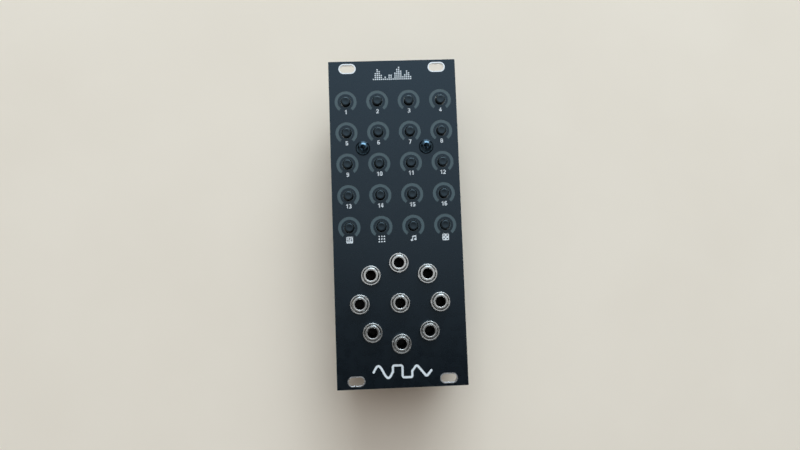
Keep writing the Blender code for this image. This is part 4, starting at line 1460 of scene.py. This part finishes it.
def add_chips():
    """Microcontroller, regulator, and the amplifiers and drivers round them, on the rear."""
    quad = [(turn, row(16, FINE_PITCH), FINE_LEAD) for turn in (0, 90, 180, 270)]
    for name, node, reach, sides, dot in (
        ("microcontroller_body", "microcontroller", CONTROLLER_REACH, quad, True),
        ("regulator_body", "voltage_regulator", REGULATOR_REACH, REGULATOR_SIDES, False),
    ):
        width, length, _ = extent(node)
        mesh = chip_mesh(width, length, board_low.z - box(node)[0].z, reach, sides, dot)
        put_behind(name, mesh, "chip_plastic", middle(node).xy, 0, (node,))
    for name, count, length, places in SMALL_CHIPS:
        sides = [(turn, row(count, CHIP_PITCH), CHIP_LEAD) for turn in (0, 180)]
        mesh = chip_mesh(CHIP_WIDTH, length, CHIP_HEIGHT, CHIP_REACH, sides)
        for number, place in enumerate(places, start=1):
            put_behind(f"{name}_{number}", mesh, "chip_plastic", place)


def passive_mesh(size, places, body_material, end_share):
    """Small two-ended parts from the board up; each place is x, y and whether it lies along Y."""
    bodies, ends = bmesh.new(), bmesh.new()
    length, width, height = size
    cap = length * end_share
    for x, y, along_y in places:
        body_size = (*swapped(along_y, length - 2 * cap + 0.02, width - 0.04), height - 0.02)
        add_moulded(bodies, body_size, 0.03, corner=0.04, edge=0.03, centre=(x, -y), steps=1)
        for sign in (-1, 1):
            dx, dy = swapped(along_y, sign * (length - cap) / 2, 0.0)
            end_size, place = (*swapped(along_y, cap, width), height), (x + dx, -y + dy)
            add_moulded(ends, end_size, 0.02, corner=0.08, edge=0.06, centre=place, steps=2)
    return joined((bodies, body_material), (ends, TINNED))


def add_passives():
    """Resistors, capacitors, diodes, the crystal and the programming pins on the rear."""
    groups = (
        ("rear_resistors", (1.6, 0.8, 0.5), RESISTORS, INK_BLACK, 0.22),
        ("rear_capacitors", (1.6, 0.8, 0.8), CAPACITORS, CERAMIC_BUFF, 0.22),
        ("rear_diodes", (3.0, 1.6, 1.1), DIODES, CHIP_EPOXY, 0.1),
    )
    for name, size, places, material, end_share in groups:
        put_behind(name, passive_mesh(size, places, material, end_share), "chip_plastic")
    crystal = made(add_moulded, (3.2, 2.5, 0.45), base=0.03, corner=0.2, edge=0.05)
    lid = made(add_moulded, (2.7, 2.0, 0.25), base=0.48, corner=0.3, edge=0.1)
    crystal = joined((crystal, CERAMIC_WHITE), (lid, STEEL))
    put_behind("crystal", crystal, "chip_plastic", CRYSTAL_PLACE, 90)
    base, pins = bmesh.new(), bmesh.new()
    for offset in row(PROGRAMMING_PINS, HEADER_PIN_PITCH):
        add_moulded(base, (2.5, 2.52, 2.5), 0.0, corner=0.5, edge=0.1, centre=(0, offset))
        add_pin(pins, (0, offset), ((0.4, -2.6), (1.0, -2.2), (1.0, 7.6), (0.45, 8.0)))
    header = joined((base, HEADER_PLASTIC), (pins, GOLD))
    put_behind("programming_header", header, "header_plastic", PROGRAMMING_PLACE)


def add_floor():
    """A pale plain table top under the module, which far away passes into the pale horizon."""
    material = finish("floor", (0.88, 0.76, 0.64), 0.8, Specular_IOR_Level=0.2)
    vary_colour(material, noise(material, 60.0, 3.0), (0.87, 0.75, 0.63), (0.89, 0.77, 0.65))
    tree = material.node_tree
    place = add_node(tree, "ShaderNodeTexCoord").outputs["Object"]
    distance = add_node(tree, "ShaderNodeVectorMath", operation="LENGTH", Vector=place)
    fade = remapped(tree, distance.outputs["Value"], *FLOOR_FADE, interpolation_type="SMOOTHSTEP")
    glow = add_node(tree, "ShaderNodeEmission", Color=(*HORIZON, 1.0))
    blend = add_node(tree, "ShaderNodeMixShader", Fac=fade)
    tree.links.new(tree.nodes["Principled BSDF"].outputs["BSDF"], blend.inputs[1])
    tree.links.new(glow.outputs["Emission"], blend.inputs[2])
    tree.links.new(blend.outputs["Shader"], tree.nodes["Material Output"].inputs["Surface"])
    mesh = bpy.data.meshes.new("floor")
    reach = FLOOR_REACH
    corners = [(-reach, -reach, 0), (reach, -reach, 0), (reach, reach, 0), (-reach, reach, 0)]
    mesh.from_pydata(corners, [], [(0, 1, 2, 3)])
    mesh.materials.append(material)
    floor = placed("floor", mesh)


def add_lamp(name, place, aim, size, watts, colour):
    """A soft rectangular light at a place in metres, facing a point."""
    data = bpy.data.lights.new(name, "AREA")
    data.shape = "RECTANGLE"
    data.size, data.size_y = size
    data.energy = watts
    data.color = colour
    lamp = placed(name, data)
    lamp.location = place
    lamp.rotation_euler = (Vector(place) - Vector(aim)).to_track_quat("Z", "Y").to_euler()


def add_world():
    """A room that is sky-lit round its window, dim behind overhead and pale at the horizon."""
    world = bpy.data.worlds.new("room")
    world.use_nodes = True
    bpy.context.scene.world = world
    tree = world.node_tree
    facing = add_node(tree, "ShaderNodeTexCoord").outputs["Generated"]
    along = add_node(tree, "ShaderNodeVectorMath", operation="DOT_PRODUCT", Vector=facing)
    along.inputs[1].default_value = WINDOW_MIDDLE
    ramp = add_node(tree, "ShaderNodeValToRGB", Fac=along.outputs["Value"])
    elements = ramp.color_ramp.elements
    for index, (position, colour) in enumerate(ROOM):
        element = elements[index] if index < 2 else elements.new(position)
        element.position = position
        element.color = (*colour, 1.0)
    height = add_node(tree, "ShaderNodeSeparateXYZ", Vector=facing).outputs["Z"]
    mix = add_node(
        tree, "ShaderNodeMixRGB", Fac=remapped(tree, height, *HORIZON_RISE),
        Color1=(*HORIZON, 1.0), Color2=ramp.outputs["Color"],
    )
    tree.links.new(mix.outputs["Color"], tree.nodes["Background"].inputs["Color"])


def add_light():
    """A window beyond the panel's top edge, and a weak warm fill from the near left."""
    aim = (0.0, 0.0, 0.02)
    add_lamp("window", (0.26, 1.54, 0.68), aim, (1.32, 0.92), 32.0, (0.78, 0.92, 1.0))
    add_lamp("fill", (-0.9, -0.6, 0.8), aim, (1.6, 1.6), 1.5, (1.0, 0.88, 0.76))


def add_camera():
    """The photograph's view: nearly straight down from above the panel's middle."""
    place = Vector((-8.5, -21.3, panel_high.z + 249.3)) * MM
    aim = Vector((1.03, -1.65, panel_high.z)) * MM
    roll = math.radians(-2.07)
    ahead = (aim - place).normalized()
    level = ahead.cross(Vector((0.0, 1.0, 0.0))).normalized()
    right = math.cos(roll) * level + math.sin(roll) * level.cross(ahead)
    facing = Matrix((right, right.cross(ahead), -ahead)).transposed().to_4x4()
    data = bpy.data.cameras.new("camera")
    data.lens = 28.8
    data.clip_start = 0.01
    camera = placed("camera", data)
    camera.matrix_world = Matrix.Translation(place) @ facing
    bpy.context.scene.camera = camera


add_panel()
add_print()
add_plungers()
add_switches_and_lamps()
add_jacks()
add_fasteners()
add_board()
add_rear_detail()
add_power_parts()
add_chips()
add_passives()
add_floor()
add_world()
add_light()
add_camera()
bpy.context.scene.view_settings.view_transform = "Standard"
